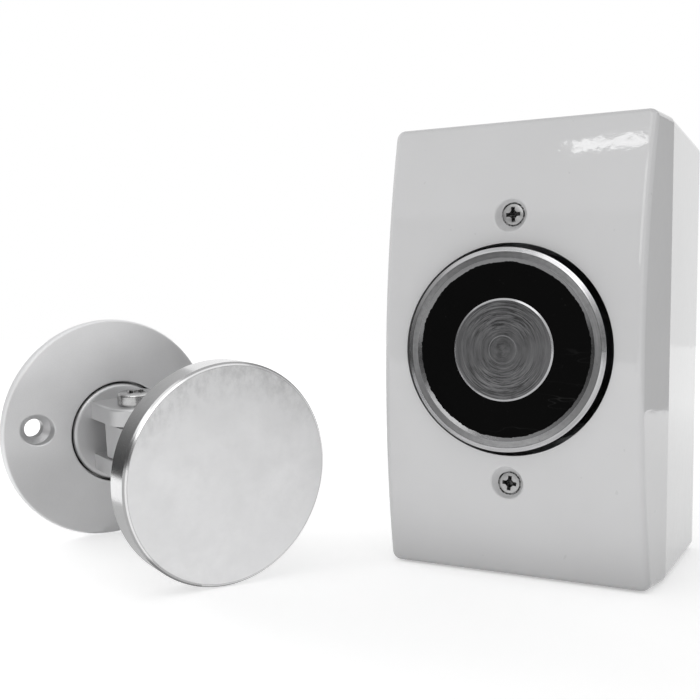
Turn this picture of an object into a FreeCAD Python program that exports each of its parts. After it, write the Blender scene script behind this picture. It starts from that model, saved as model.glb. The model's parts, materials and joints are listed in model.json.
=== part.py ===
"""Electromagnetic door holder: a wall unit with a round magnet, and a swivel armature for the door.

The row frame is X right, Y towards the wall and Z up, with its origin at the centre of the wall
unit's back face. Each half is drawn in its own frame, whose XY plane lies on the wall or the door
and whose Z axis points out of it, and is then placed in the row frame.
"""
import FreeCAD, Part
import math
import os
import types

import Sketcher

# Driving dimensions in millimetres and degrees.
SIZES = {
    # Wall unit: back box
    "unit_width": 69.85,
    "unit_height": 114.3,
    "box_depth": 43.2,
    "box_wall": 2.2,
    "corner_radius": 2.4,
    "post_diameter": 9.0,
    "wall_hole_spacing": 83.3,
    "wall_hole_diameter": 5.0,
    "wire_entry_diameter": 22.2,
    # Wall unit: arched cover
    "cover_end_height": 12.1,
    "cover_arch_rise": 8.1,
    "cover_side_taper": 7.2,
    "cover_end_taper": 2.0,
    "cover_wall": 2.4,
    "cover_edge_radius": 1.8,
    "cover_post_diameter": 10.4,
    "cover_screw_spacing": 66.1,
    "cover_screw_head": 6.0,
    "cover_screw_shank": 3.0,
    "cover_screw_sink": 1.85,
    "cover_recess_mouth": 8.2,
    "cover_recess_round": 0.4,
    # Wall unit: magnet
    "magnet_diameter": 49.3,
    "magnet_gap": 1.3,
    "magnet_protrusion": 2.1,
    "cup_length": 25.0,
    "cup_base": 5.0,
    "ring_wall": 3.6,
    "ring_outer_bevel": 1.1,
    "ring_outer_bevel_depth": 0.45,
    "ring_inner_bevel": 1.0,
    "pole_diameter": 24.8,
    "pole_bevel": 0.45,
    "pole_bevel_depth": 0.25,
    "potting_depth": 3.4,
    "potting_recess": 0.4,
    "bobbin_tube": 1.1,
    "bobbin_flange": 1.2,
    "winding_margin": 1.0,
    # Wall unit: strap, bolt and terminals
    "strap_thickness": 2.0,
    "strap_width": 30.0,
    "strap_end_gap": 0.6,
    "strap_corner": 3.0,
    "strap_screw_head": 6.0,
    "strap_screw_head_height": 2.4,
    "strap_screw_shank": 3.5,
    "strap_screw_grip": 10.0,
    "strap_screw_room": 1.0,
    "bolt_diameter": 6.0,
    "bolt_engagement": 12.0,
    "bolt_head_flats": 10.0,
    "bolt_head_height": 4.0,
    "bolt_washer_diameter": 12.0,
    "bolt_washer_thickness": 1.6,
    "bolt_washer_arc": 350.0,
    "block_length": 29.0,
    "block_height": 9.5,
    "block_depth": 12.0,
    "block_post_gap": 1.0,
    "block_screw_spacing": 23.0,
    "block_screw_shank": 2.5,
    "block_screw_head": 4.6,
    "block_screw_head_height": 1.8,
    "terminal_pitch": 8.0,
    "terminal_screw_diameter": 4.0,
    "terminal_screw_length": 4.0,
    "terminal_well_depth": 5.0,
    "lead_diameter": 1.8,
    "lead_bend": 5.4,
    "lead_insertion": 4.0,
    "lead_clearance": 0.2,
    # Door half: plate
    "plate_diameter": 63.8,
    "plate_height": 9.1,
    "plate_rim": 2.6,
    "plate_rim_radius": 1.3,
    "plate_dome_radius": 70.0,
    "plate_lip": 3.5,
    "plate_edge_radius": 0.3,
    "plate_hole_circle": 46.6,
    "plate_hole_diameter": 5.4,
    "plate_countersink": 8.3,
    "plate_countersink_angle": 82.0,
    "plate_countersink_sink": 0.4,
    "plate_countersink_round": 0.5,
    # Door half: swivel
    "swivel_diameter": 28.2,
    "swivel_gap": 0.5,
    "swivel_edge": 1.3,
    "flange_diameter": 34.0,
    "flange_thickness": 2.2,
    "flange_gap": 0.4,
    "swivel_play": 0.1,
    "washer_thickness": 1.0,
    "washer_bore": 20.0,
    "ring_thickness": 1.0,
    "ring_bore": 28.6,
    "ring_groove": 0.8,
    "ring_arc": 330.0,
    "ear_gap": 10.2,
    "ear_thickness": 4.9,
    "ear_width": 16.8,
    "ear_root": 1.0,
    "ear_edge": 0.7,
    "pivot_reach": 12.5,
    "pivot_diameter": 6.0,
    "pivot_head": 10.4,
    "pivot_head_height": 3.4,
    "pivot_head_chamfer": 0.5,
    # Door half: armature
    "tongue_width": 15.0,
    "tongue_rear": 5.8,
    "tongue_side_gap": 0.3,
    "tongue_edge": 0.6,
    "pivot_clearance": 0.08,
    "swing_gap": 0.7,
    "stem_diameter": 16.0,
    "stem_chamfer": 0.6,
    "spigot_diameter": 8.0,
    "spigot_length": 5.0,
    "armature_diameter": 54.1,
    "armature_thickness": 7.4,
    "armature_chamfer": 0.8,
    "armature_back_chamfer": 0.4,
    "armature_reach": 73.5,
    # Fits and small common sizes
    "fit_clearance": 0.05,
    "hole_spare": 1.0,
    "cross_width": 0.9,
    "cross_depth": 1.1,
    "head_chamfer": 0.4,
    # Where the door half stands beside the wall unit
    "stand_x": -121.4,
    "stand_y": -67.3,
    "stand_turn": 64.5,
    "plate_roll": -2.9,
    "swivel_roll": 6.0,
}

AXIS_X = FreeCAD.Vector(1, 0, 0)
AXIS_Y = FreeCAD.Vector(0, 1, 0)
AXIS_Z = FreeCAD.Vector(0, 0, 1)
ORIGIN = FreeCAD.Vector(0, 0, 0)


class Size:
    """A length or angle as spreadsheet expression text, together with its present value."""

    def __init__(self, text, value):
        self.text = text
        self.value = value

    def _join(self, sign, other, value):
        return Size("(%s %s %s)" % (self.text, sign, other.text), value)

    def __add__(self, other):
        other = as_size(other)
        return self._join("+", other, self.value + other.value)

    def __sub__(self, other):
        other = as_size(other)
        return self._join("-", other, self.value - other.value)

    def __mul__(self, other):
        other = as_size(other)
        return self._join("*", other, self.value * other.value)

    def __truediv__(self, other):
        other = as_size(other)
        return self._join("/", other, self.value / other.value)

    def __neg__(self):
        return Size("(0 - %s)" % self.text, -self.value)


def as_size(number):
    """A Size as it is, or a plain number as a Size."""
    if isinstance(number, Size):
        return number
    return Size(repr(float(number)), float(number))


def root(size):
    """The square root of a size."""
    return Size("sqrt(%s)" % size.text, math.sqrt(size.value))


def tangent(angle):
    """The tangent of an angle in degrees."""
    return Size("tan(%s)" % angle.text, math.tan(math.radians(angle.value)))


doc = FreeCAD.newDocument("door_holder")
sheet = doc.addObject("Spreadsheet::Sheet", "sizes")
for row, (alias, number) in enumerate(SIZES.items(), start=1):
    sheet.set("A%d" % row, alias)
    sheet.set("B%d" % row, str(number))
    sheet.setAlias("B%d" % row, alias)
doc.recompute()
d = types.SimpleNamespace(**{alias: Size("sizes." + alias, number) for alias, number in SIZES.items()})


# Sketch and feature helpers

def bind(thing, path, size):
    """Tie one property of a document object to the sheet."""
    thing.setExpression(path, as_size(size).text)


def new_body(name):
    """An empty body."""
    return doc.addObject("PartDesign::Body", name)


def new_sketch(body, name, plane, lift=0):
    """A sketch on one of the body's own origin planes, lifted along its normal."""
    sketch = body.newObject("Sketcher::SketchObject", name)
    support = [item for item in body.Origin.OriginFeatures if item.Role == plane][0]
    sketch.AttachmentSupport = [(support, "")]
    sketch.MapMode = "FlatFace"
    if isinstance(lift, Size):
        bind(sketch, "AttachmentOffset.Base.z", lift)
    return sketch


def pin_point(sketch, geometry, end, across, up):
    """Hold one point of a sketch at its two coordinates."""
    for kind, axis, size in (("DistanceX", -2, as_size(across)), ("DistanceY", -1, as_size(up))):
        if size.value == 0:
            sketch.addConstraint(Sketcher.Constraint("PointOnObject", geometry, end, axis))
            continue
        if size.value > 0:
            rule = Sketcher.Constraint(kind, -1, 1, geometry, end, size.value)
        else:
            size = -size
            rule = Sketcher.Constraint(kind, geometry, end, -1, 1, size.value)
        index = sketch.addConstraint(rule)
        bind(sketch, "Constraints[%d]" % index, size)


def arc_middle(start, finish, radius, bulge):
    """The middle of an arc that bulges to the left (1) or the right (-1) of its direction."""
    chord = finish - start
    half = chord.Length / 2
    rise = radius - math.sqrt(radius * radius - half * half)
    side = FreeCAD.Vector(-chord.y, chord.x, 0).normalize() * bulge
    return (start + finish) / 2 + side * rise


def draw_outline(sketch, corners, arcs=None, closed=True):
    """Draw an outline or an open path. arcs gives the radius and bulge of the edge after a corner."""
    arcs = arcs or {}
    points = [FreeCAD.Vector(as_size(u).value, as_size(v).value, 0) for u, v in corners]
    ends = []
    for index in range(len(points) if closed else len(points) - 1):
        start = points[index]
        finish = points[(index + 1) % len(points)]
        if index not in arcs:
            edge = sketch.addGeometry(Part.LineSegment(start, finish))
            ends.append((edge, 1, 2))
            continue
        radius, bulge = arcs[index]
        middle = arc_middle(start, finish, radius.value, bulge)
        if bulge > 0:
            edge = sketch.addGeometry(Part.Arc(finish, middle, start))
            ends.append((edge, 2, 1))
        else:
            edge = sketch.addGeometry(Part.Arc(start, middle, finish))
            ends.append((edge, 1, 2))
    joints = list(zip(ends, ends[1:] + ends[:1])) if closed else list(zip(ends, ends[1:]))
    for (edge, first, last), (following, start, finish) in joints:
        sketch.addConstraint(Sketcher.Constraint("Coincident", edge, last, following, start))
    for (edge, first, last), (across, up) in zip(ends, corners):
        pin_point(sketch, edge, first, across, up)
    if not closed:
        pin_point(sketch, ends[-1][0], ends[-1][2], *corners[-1])
    for index, (radius, bulge) in arcs.items():
        rule = sketch.addConstraint(Sketcher.Constraint("Radius", ends[index][0], radius.value))
        bind(sketch, "Constraints[%d]" % rule, radius)


def draw_rectangle(sketch, left, low, right, high):
    """Draw a rectangle from its four sides."""
    draw_outline(sketch, [(left, low), (right, low), (right, high), (left, high)])


def draw_circle(sketch, across, up, radius):
    """Draw a circle."""
    centre = FreeCAD.Vector(as_size(across).value, as_size(up).value, 0)
    edge = sketch.addGeometry(Part.Circle(centre, AXIS_Z, radius.value))
    pin_point(sketch, edge, 3, across, up)
    rule = sketch.addConstraint(Sketcher.Constraint("Radius", edge, radius.value))
    bind(sketch, "Constraints[%d]" % rule, radius)


def draw_cross(sketch, span, width):
    """Draw the plus-shaped outline of a cross recess."""
    a = width / 2
    b = span / 2
    draw_outline(sketch, [(a, a), (b, a), (b, -a), (a, -a), (a, -b), (-a, -b),
                          (-a, -a), (-b, -a), (-b, a), (-a, a), (-a, b), (a, b)])


def extrude(body, kind, sketch, name, length, both_ways=False, backwards=False):
    """A Pad or a Pocket of a sketch."""
    feature = body.newObject("PartDesign::" + kind, name)
    feature.Profile = sketch
    bind(feature, "Length", length)
    feature.SideType = "Symmetric" if both_ways else "One side"
    feature.Reversed = backwards
    doc.recompute()
    return feature


def turn(body, sketch, name, kind="Revolution", angle=360):
    """A Revolution or a Groove of a sketch about its vertical axis."""
    feature = body.newObject("PartDesign::" + kind, name)
    feature.Profile = sketch
    feature.ReferenceAxis = (sketch, ["V_Axis"])
    bind(feature, "Angle", angle)
    doc.recompute()
    return feature


def turned_body(name, corners, arcs=None, angle=360):
    """A body turned about Z from the outline of its half section."""
    body = new_body(name)
    sketch = new_sketch(body, name + "_section", "XZ_Plane")
    draw_outline(sketch, corners, arcs)
    turn(body, sketch, name + "_turned", angle=angle)
    return body


def edge_names(shape, wanted):
    """The names of the edges of a shape that a test picks."""
    return ["Edge%d" % number for number, edge in enumerate(shape.Edges, start=1) if wanted(edge)]


def dress(body, kind, name, size, wanted):
    """A Fillet or a Chamfer on the edges of the body's tip that a test picks."""
    tip = body.Tip
    feature = body.newObject("PartDesign::" + kind, name)
    feature.Base = (tip, edge_names(tip.Shape, wanted))
    bind(feature, "Radius" if kind == "Fillet" else "Size", size)
    doc.recompute()
    return feature


def runs_along(edge, axis):
    """Whether an edge is straight and parallel to an axis."""
    if not isinstance(edge.Curve, Part.Line):
        return False
    return edge.tangentAt(edge.FirstParameter).cross(axis).Length < 1e-6


def is_near(number, size):
    """Whether a number equals a size."""
    return abs(number - as_size(size).value) < 1e-4


def boolean(kind, name, base, tool):
    """A Cut, Fuse or Common of two objects."""
    feature = doc.addObject("Part::" + kind, name)
    feature.Base = base
    feature.Tool = tool
    return feature


def mirrored_copy(name, source, normal):
    """A copy mirrored through the origin."""
    copy = doc.addObject("Part::Mirroring", name)
    copy.Source = source
    copy.Normal = normal
    return copy


def group(name, members):
    """Separate solids kept together as one sub-part."""
    compound = doc.addObject("Part::Compound", name)
    compound.Links = members
    return compound


def fuse_all(name, members):
    """One solid from several that overlap."""
    union = doc.addObject("Part::MultiFuse", name)
    union.Shapes = members
    return union


def cylinder(name, radius, height, place):
    """A cylinder along Z from its base centre."""
    solid = doc.addObject("Part::Cylinder", name)
    bind(solid, "Radius", radius)
    bind(solid, "Height", height)
    for axis, size in zip("xyz", place):
        bind(solid, "Placement.Base." + axis, size)
    return solid


# Planes and radii that several pieces share, measured out from the wall or the door

cover_crown = d.box_depth + d.cover_end_height + d.cover_arch_rise
magnet_face = cover_crown + d.magnet_protrusion
cup_back = magnet_face - d.cup_length
cup_floor = cup_back + d.cup_base
strap_back = cup_back - d.strap_thickness
magnet_radius = d.magnet_diameter / 2
cup_bore = magnet_radius - d.ring_wall
pole_radius = d.pole_diameter / 2
potting_face = magnet_face - d.potting_recess
bobbin_front = potting_face - d.potting_depth
lead_offset = (pole_radius + cup_bore) / 2
lead_hole_radius = d.lead_diameter / 2 + d.lead_clearance
post_offset = d.unit_height / 2 - d.box_wall - d.strap_screw_room - d.strap_screw_head / 2
block_drop = post_offset - d.post_diameter / 2 - d.block_post_gap - d.block_height
block_middle = strap_back - d.block_depth / 2

arch_half_chord = d.unit_height / 2 - d.cover_end_height * tangent(d.cover_end_taper)
arch_radius = ((arch_half_chord * arch_half_chord + d.cover_arch_rise * d.cover_arch_rise)
               / (d.cover_arch_rise * 2))
arch_centre = cover_crown - arch_radius
screw_offset = d.cover_screw_spacing / 2
screw_surface = arch_centre + root(arch_radius * arch_radius - screw_offset * screw_offset)
screw_head_top = screw_surface - d.cover_screw_sink
screw_cone = (d.cover_screw_head - d.cover_screw_shank) / 2

plate_radius = d.plate_diameter / 2
armature_radius = d.armature_diameter / 2
lip_back = d.plate_height - d.plate_lip
flange_front = lip_back - d.swivel_play
flange_back = flange_front - d.flange_thickness
washer_back = flange_back - d.swivel_play - d.washer_thickness
ring_back = washer_back - d.ring_thickness
counterbore = d.flange_diameter / 2 + d.flange_gap
pivot_height = d.plate_height + d.pivot_reach
ear_outside = d.ear_gap / 2 + d.ear_thickness
shoulder = pivot_height + d.ear_width / 2 + d.swing_gap
disc_back = d.armature_reach - d.armature_thickness


# Wall unit

def make_back_box():
    """The deep box on the wall, with posts for the strap, wall holes and the wire entry."""
    body = new_body("back_box")
    half_width = d.unit_width / 2
    half_height = d.unit_height / 2
    outside = new_sketch(body, "box_outside", "XY_Plane")
    draw_rectangle(outside, -half_width, -half_height, half_width, half_height)
    extrude(body, "Pad", outside, "box_block", d.box_depth)
    dress(body, "Fillet", "box_corners", d.corner_radius, lambda edge: runs_along(edge, AXIS_Z))
    inside = new_sketch(body, "box_inside", "XY_Plane", d.box_wall)
    draw_rectangle(inside, d.box_wall - half_width, d.box_wall - half_height,
                   half_width - d.box_wall, half_height - d.box_wall)
    extrude(body, "Pocket", inside, "box_hollow", d.box_depth, backwards=True)
    posts = new_sketch(body, "box_posts", "XY_Plane")
    draw_circle(posts, 0, post_offset, d.post_diameter / 2)
    draw_circle(posts, 0, -post_offset, d.post_diameter / 2)
    extrude(body, "Pad", posts, "box_post_pads", strap_back)
    taps = new_sketch(body, "box_taps", "XY_Plane", strap_back)
    tap_radius = d.strap_screw_shank / 2 + d.fit_clearance
    draw_circle(taps, 0, post_offset, tap_radius)
    draw_circle(taps, 0, -post_offset, tap_radius)
    extrude(body, "Pocket", taps, "box_tap_holes", d.strap_screw_grip + d.hole_spare)
    holes = new_sketch(body, "box_wall_holes", "XY_Plane")
    draw_circle(holes, 0, d.wall_hole_spacing / 2, d.wall_hole_diameter / 2)
    draw_circle(holes, 0, -d.wall_hole_spacing / 2, d.wall_hole_diameter / 2)
    draw_circle(holes, 0, 0, d.wire_entry_diameter / 2)
    extrude(body, "Pocket", holes, "box_back_openings", d.box_wall, backwards=True)
    return body


def cover_form(name, inset):
    """The arched, tapered form of the cover, drawn in by an inset all round."""
    body = new_body(name)
    taper = tangent(d.cover_side_taper)
    foot = d.unit_height / 2 - inset
    shoulder_out = arch_half_chord - inset
    radius = arch_radius - inset
    shoulder_up = arch_centre + root(radius * radius - shoulder_out * shoulder_out)
    profile = new_sketch(body, name + "_profile", "YZ_Plane")
    corners = [(-foot, d.box_depth), (foot, d.box_depth), (shoulder_out, shoulder_up),
               (-shoulder_out, shoulder_up)]
    draw_outline(profile, corners, {2: (radius, -1)})
    extrude(body, "Pad", profile, name + "_arch", d.unit_width - inset * 2, both_ways=True)
    base = d.unit_width / 2 - inset
    top = cover_crown + d.cover_wall
    lean = (top - d.box_depth) * taper
    sides = new_sketch(body, name + "_sides", "XZ_Plane")
    for sign in (1, -1):
        draw_outline(sides, [(base * sign, d.box_depth), ((base + lean) * sign, d.box_depth),
                             ((base + lean) * sign, top), ((base - lean) * sign, top)])
    extrude(body, "Pocket", sides, name + "_tapers", d.unit_height * 2, both_ways=True)
    return body


def round_cover(body):
    """Round the outer edges of the cover's form."""
    end_height = d.box_depth + d.cover_end_height

    def is_corner(edge):
        middle = edge.CenterOfMass
        return (abs(middle.x) > 0.3 * d.unit_width.value and abs(middle.y) > 0.4 * d.unit_height.value
                and middle.z < end_height.value - 0.1 and edge.Vertexes[0].Z != edge.Vertexes[1].Z)

    def is_front(edge):
        return min(vertex.Z for vertex in edge.Vertexes) > end_height.value - 0.1

    dress(body, "Fillet", "cover_corners", d.corner_radius, is_corner)
    dress(body, "Fillet", "cover_front_edges", d.cover_edge_radius, is_front)


def make_front_cover():
    """The arched cover with its round opening, and a post behind each sunk screw."""
    outer = cover_form("cover_outside", as_size(0))
    round_cover(outer)
    inner = cover_form("cover_inside", d.cover_wall)
    shell = boolean("Cut", "cover_shell", outer, inner)
    post_top = screw_surface - d.cover_wall / 2
    posts = [cylinder("cover_post_%d" % number, d.cover_post_diameter / 2, post_top - cup_back,
                      (0, screw_offset * sign, cup_back)) for number, sign in enumerate((1, -1))]
    solid = fuse_all("cover_with_posts", [shell] + posts)
    opening = cylinder("cover_opening", magnet_radius + d.magnet_gap, cover_crown, (0, 0, d.box_depth))
    head_radius = d.cover_screw_head / 2 + d.fit_clearance
    shank_radius = d.cover_screw_shank / 2 + d.fit_clearance
    mouth = d.cover_recess_mouth / 2
    flare = (mouth - head_radius) / d.cover_screw_sink
    above = screw_surface + d.cover_wall
    recess = turned_body("screw_recess", [
        (0, strap_back), (shank_radius, strap_back), (shank_radius, screw_head_top - screw_cone),
        (head_radius, screw_head_top), (mouth + flare * d.cover_wall, above), (0, above)])
    bind(recess, "Placement.Base.y", screw_offset)
    other = mirrored_copy("screw_recess_low", recess, AXIS_Y)
    tools = fuse_all("cover_cuts", [opening, recess, other])
    cut = boolean("Cut", "cover_cut_out", solid, tools)
    doc.recompute()

    def is_mouth(edge):
        return all(is_near(math.hypot(vertex.Y, vertex.Z - arch_centre.value), arch_radius)
                   and math.hypot(vertex.X, abs(vertex.Y) - screw_offset.value) < d.cover_recess_mouth.value
                   for vertex in edge.Vertexes)

    rounded = doc.addObject("Part::Fillet", "front_cover")
    rounded.Base = cut
    radius = d.cover_recess_round.value
    rounded.Edges = [(number, radius, radius) for number, edge in enumerate(cut.Shape.Edges, start=1)
                     if is_mouth(edge)]
    return rounded


def recessed_screw(name, corners, top, span):
    """A screw turned from its half section, with a cross recess sunk in its head."""
    body = turned_body(name, corners)
    cross = new_sketch(body, name + "_cross", "XY_Plane", top)
    draw_cross(cross, span, d.cross_width)
    extrude(body, "Pocket", cross, name + "_drive", d.cross_depth)
    return body


def screw_pair(name, body, offset):
    """Two like screws, above and below the middle."""
    bind(body, "Placement.Base.y", offset)
    return group(name, [body, mirrored_copy(name + "_low", body, AXIS_Y)])


def make_cover_screws():
    """The two countersunk screws that hold the cover to the strap."""
    shank = d.cover_screw_shank / 2
    head = d.cover_screw_head / 2
    tip = strap_back + d.fit_clearance
    corners = [(0, tip), (shank, tip), (shank, screw_head_top - screw_cone), (head, screw_head_top),
               (0, screw_head_top)]
    screw = recessed_screw("cover_screw", corners, screw_head_top, d.cover_screw_head * 0.6)
    return screw_pair("cover_screws", screw, screw_offset)


def make_strap_screws():
    """The two pan-head screws that hold the strap on the posts of the back box."""
    shank = d.strap_screw_shank / 2
    head = d.strap_screw_head / 2
    top = cup_back + d.strap_screw_head_height
    tip = strap_back - d.strap_screw_grip
    corners = [(0, tip), (shank, tip), (shank, cup_back), (head, cup_back), (head, top - d.head_chamfer),
               (head - d.head_chamfer, top), (0, top)]
    screw = recessed_screw("strap_screw", corners, top, d.strap_screw_head * 0.6)
    return screw_pair("strap_screws", screw, post_offset)


def make_mounting_strap():
    """The steel strap across the box that carries the magnet, the terminals and the cover."""
    body = new_body("mounting_strap")
    half_width = d.strap_width / 2
    half_length = d.unit_height / 2 - d.box_wall - d.strap_end_gap
    blank = new_sketch(body, "strap_blank", "XY_Plane", strap_back)
    draw_rectangle(blank, -half_width, -half_length, half_width, half_length)
    extrude(body, "Pad", blank, "strap_plate", d.strap_thickness)
    dress(body, "Fillet", "strap_corners", d.strap_corner, lambda edge: runs_along(edge, AXIS_Z))
    holes = new_sketch(body, "strap_holes", "XY_Plane", strap_back)
    draw_circle(holes, 0, 0, d.bolt_diameter / 2 + d.fit_clearance)
    for sign in (1, -1):
        draw_circle(holes, 0, post_offset * sign, d.strap_screw_shank / 2 + d.fit_clearance)
        draw_circle(holes, 0, screw_offset * sign, d.cover_screw_shank / 2 + d.fit_clearance)
        draw_circle(holes, d.terminal_pitch / 2 * sign, -lead_offset, lead_hole_radius)
        draw_circle(holes, d.block_screw_spacing / 2 * sign, block_line(),
                    d.block_screw_shank / 2 + d.fit_clearance)
    extrude(body, "Pocket", holes, "strap_hole_cuts", d.strap_thickness, backwards=True)
    return body


def block_line():
    """The height of the line through the terminal block's screws."""
    return -block_drop - d.block_height / 2


def make_magnet_cup():
    """The steel cup whose rim is the outer pole."""
    bolt_hole = d.bolt_diameter / 2 + d.fit_clearance
    body = turned_body("magnet_cup", [
        (bolt_hole, cup_back), (magnet_radius, cup_back),
        (magnet_radius, magnet_face - d.ring_outer_bevel_depth),
        (magnet_radius - d.ring_outer_bevel, magnet_face),
        (cup_bore + d.ring_inner_bevel, magnet_face), (cup_bore, potting_face),
        (cup_bore, cup_floor), (bolt_hole, cup_floor)])
    holes = new_sketch(body, "cup_lead_holes", "XY_Plane", cup_back)
    for sign in (1, -1):
        draw_circle(holes, d.terminal_pitch / 2 * sign, -lead_offset, lead_hole_radius)
    extrude(body, "Pocket", holes, "cup_lead_cuts", d.cup_base, backwards=True)
    return body


def make_center_pole():
    """The round core that is the inner pole, tapped from behind."""
    tap = d.bolt_diameter / 2 + d.fit_clearance
    tap_end = cup_floor + d.bolt_engagement + d.hole_spare
    return turned_body("center_pole", [
        (tap, cup_floor), (pole_radius, cup_floor), (pole_radius, magnet_face - d.pole_bevel_depth),
        (pole_radius - d.pole_bevel, magnet_face), (0, magnet_face), (0, tap_end), (tap, tap_end)])


def make_coil_bobbin():
    """The moulded spool on the core."""
    bore = pole_radius + d.fit_clearance
    barrel = bore + d.bobbin_tube
    rim = cup_bore - d.fit_clearance
    low = cup_floor + d.fit_clearance
    high = bobbin_front
    return turned_body("coil_bobbin", [
        (bore, low), (rim, low), (rim, low + d.bobbin_flange), (barrel, low + d.bobbin_flange),
        (barrel, high - d.bobbin_flange), (rim, high - d.bobbin_flange), (rim, high), (bore, high)])


def make_coil_winding():
    """The coil of enamelled wire, as one ring between the spool's flanges."""
    bore = pole_radius + d.bobbin_tube + d.fit_clearance * 2
    rim = cup_bore - d.winding_margin
    low = cup_floor + d.bobbin_flange + d.fit_clearance * 2
    high = bobbin_front - d.bobbin_flange - d.fit_clearance
    return turned_body("coil_winding", [(bore, low), (rim, low), (rim, high), (bore, high)])


def make_potting_ring():
    """The black potting that closes the coil, level with the foot of the ring's inner bevel."""
    bore = pole_radius + d.fit_clearance
    rim = cup_bore - d.fit_clearance
    low = bobbin_front + d.fit_clearance
    return turned_body("potting_ring", [(bore, low), (rim, low), (rim, potting_face),
                                        (bore, potting_face)])


def make_bolt_washer():
    """The split spring washer under the magnet bolt's head."""
    bore = d.bolt_diameter / 2 + d.fit_clearance
    rim = d.bolt_washer_diameter / 2
    low = strap_back - d.bolt_washer_thickness
    return turned_body("bolt_washer", [(bore, low), (rim, low), (rim, strap_back), (bore, strap_back)],
                       angle=d.bolt_washer_arc)


def make_magnet_bolt():
    """The hexagon bolt that pulls the cup and the core onto the strap."""
    body = new_body("magnet_bolt")
    seat = strap_back - d.bolt_washer_thickness
    flat = d.bolt_head_flats / 2
    side = d.bolt_head_flats * (1 / (2 * math.sqrt(3)))
    head = new_sketch(body, "bolt_hexagon", "XY_Plane", seat - d.bolt_head_height)
    draw_outline(head, [(side, flat), (-side, flat), (side * -2, 0), (-side, -flat), (side, -flat),
                        (side * 2, 0)])
    extrude(body, "Pad", head, "bolt_head", d.bolt_head_height)
    shank = new_sketch(body, "bolt_circle", "XY_Plane", seat)
    draw_circle(shank, 0, 0, d.bolt_diameter / 2)
    extrude(body, "Pad", shank, "bolt_shank", cup_floor + d.bolt_engagement - seat)
    return body


def make_terminal_block():
    """The two-pole terminal block on the back of the strap."""
    body = new_body("terminal_block")
    block_back = strap_back - d.block_depth
    outline = new_sketch(body, "block_outline", "XY_Plane", block_back)
    draw_rectangle(outline, -d.block_length / 2, -block_drop - d.block_height, d.block_length / 2,
                   -block_drop)
    extrude(body, "Pad", outline, "block_moulding", d.block_depth)
    wells = new_sketch(body, "block_wells", "XY_Plane", block_back)
    fixings = new_sketch(body, "block_fixings", "XY_Plane", block_back)
    ways = new_sketch(body, "block_wire_ways", "XZ_Plane")
    for sign in (1, -1):
        draw_circle(wells, d.terminal_pitch / 2 * sign, block_line(),
                    d.terminal_screw_diameter / 2 + d.fit_clearance)
        draw_circle(fixings, d.block_screw_spacing / 2 * sign, block_line(),
                    d.block_screw_shank / 2 + d.fit_clearance)
        draw_circle(ways, d.terminal_pitch / 2 * sign, block_middle, lead_hole_radius)
    extrude(body, "Pocket", wells, "block_screw_wells", d.terminal_well_depth, backwards=True)
    extrude(body, "Pocket", fixings, "block_fixing_holes", d.block_depth, backwards=True)
    extrude(body, "Pocket", ways, "block_wire_holes", d.unit_height, both_ways=True)
    return body


def make_terminal_screws():
    """The clamp screws in the terminal block's wells, flush with its back."""
    high = strap_back - d.block_depth + d.terminal_screw_length
    low = high - d.terminal_screw_length
    radius = d.terminal_screw_diameter / 2
    body = turned_body("terminal_screw", [(0, low), (radius, low), (radius, high), (0, high)])
    slot = new_sketch(body, "terminal_slot", "XY_Plane", low)
    draw_rectangle(slot, -d.terminal_screw_diameter, -d.cross_width / 2, d.terminal_screw_diameter,
                   d.cross_width / 2)
    extrude(body, "Pocket", slot, "terminal_slot_cut", d.cross_depth, backwards=True)
    bind(body, "Placement.Base.x", d.terminal_pitch / 2)
    bind(body, "Placement.Base.y", block_line())
    return group("terminal_screws", [body, mirrored_copy("terminal_screw_left", body, AXIS_X)])


def make_block_screws():
    """The two small screws that hold the terminal block to the strap."""
    seat = strap_back - d.block_depth
    low = seat - d.block_screw_head_height
    head = d.block_screw_head / 2
    shank = d.block_screw_shank / 2
    body = turned_body("block_screw", [
        (0, low), (head - d.head_chamfer, low), (head, low + d.head_chamfer), (head, seat),
        (shank, seat), (shank, cup_back), (0, cup_back)])
    cross = new_sketch(body, "block_screw_cross", "XY_Plane", low)
    draw_cross(cross, d.block_screw_head * 0.6, d.cross_width)
    extrude(body, "Pocket", cross, "block_screw_drive", d.cross_depth, backwards=True)
    bind(body, "Placement.Base.x", d.block_screw_spacing / 2)
    bind(body, "Placement.Base.y", block_line())
    return group("block_screws", [body, mirrored_copy("block_screw_left", body, AXIS_X)])


def make_coil_leads():
    """The two insulated leads from the coil, through the strap and into the terminal block."""
    body = new_body("coil_lead")
    start = new_sketch(body, "lead_section", "XY_Plane", cup_floor)
    draw_circle(start, 0, -lead_offset, d.lead_diameter / 2)
    route = new_sketch(body, "lead_route", "YZ_Plane")
    draw_outline(route, [
        (-lead_offset, cup_floor), (-lead_offset, block_middle + d.lead_bend),
        (-lead_offset - d.lead_bend, block_middle), (-block_drop - d.lead_insertion, block_middle)],
        {1: (d.lead_bend, 1)}, closed=False)
    doc.recompute()
    pipe = body.newObject("PartDesign::AdditivePipe", "lead_wire")
    pipe.Profile = start
    pipe.Spine = (route, ["Edge1", "Edge2", "Edge3"])
    doc.recompute()
    bind(body, "Placement.Base.x", d.terminal_pitch / 2)
    return group("coil_leads", [body, mirrored_copy("coil_lead_left", body, AXIS_X)])


# Door half

def dome_height(hole, away):
    """The height of the plate's dome at a distance from its axis."""
    run = plate_radius - hole
    drop = d.plate_height - d.plate_rim
    chord = root(run * run + drop * drop)
    dome = d.plate_dome_radius
    depth = root(dome * dome - chord * chord / 4)
    centre_out = (plate_radius + hole) / 2 - depth * drop / chord
    centre_up = (d.plate_height + d.plate_rim) / 2 - depth * run / chord
    reach = away - centre_out
    return centre_up + root(dome * dome - reach * reach)


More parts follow.
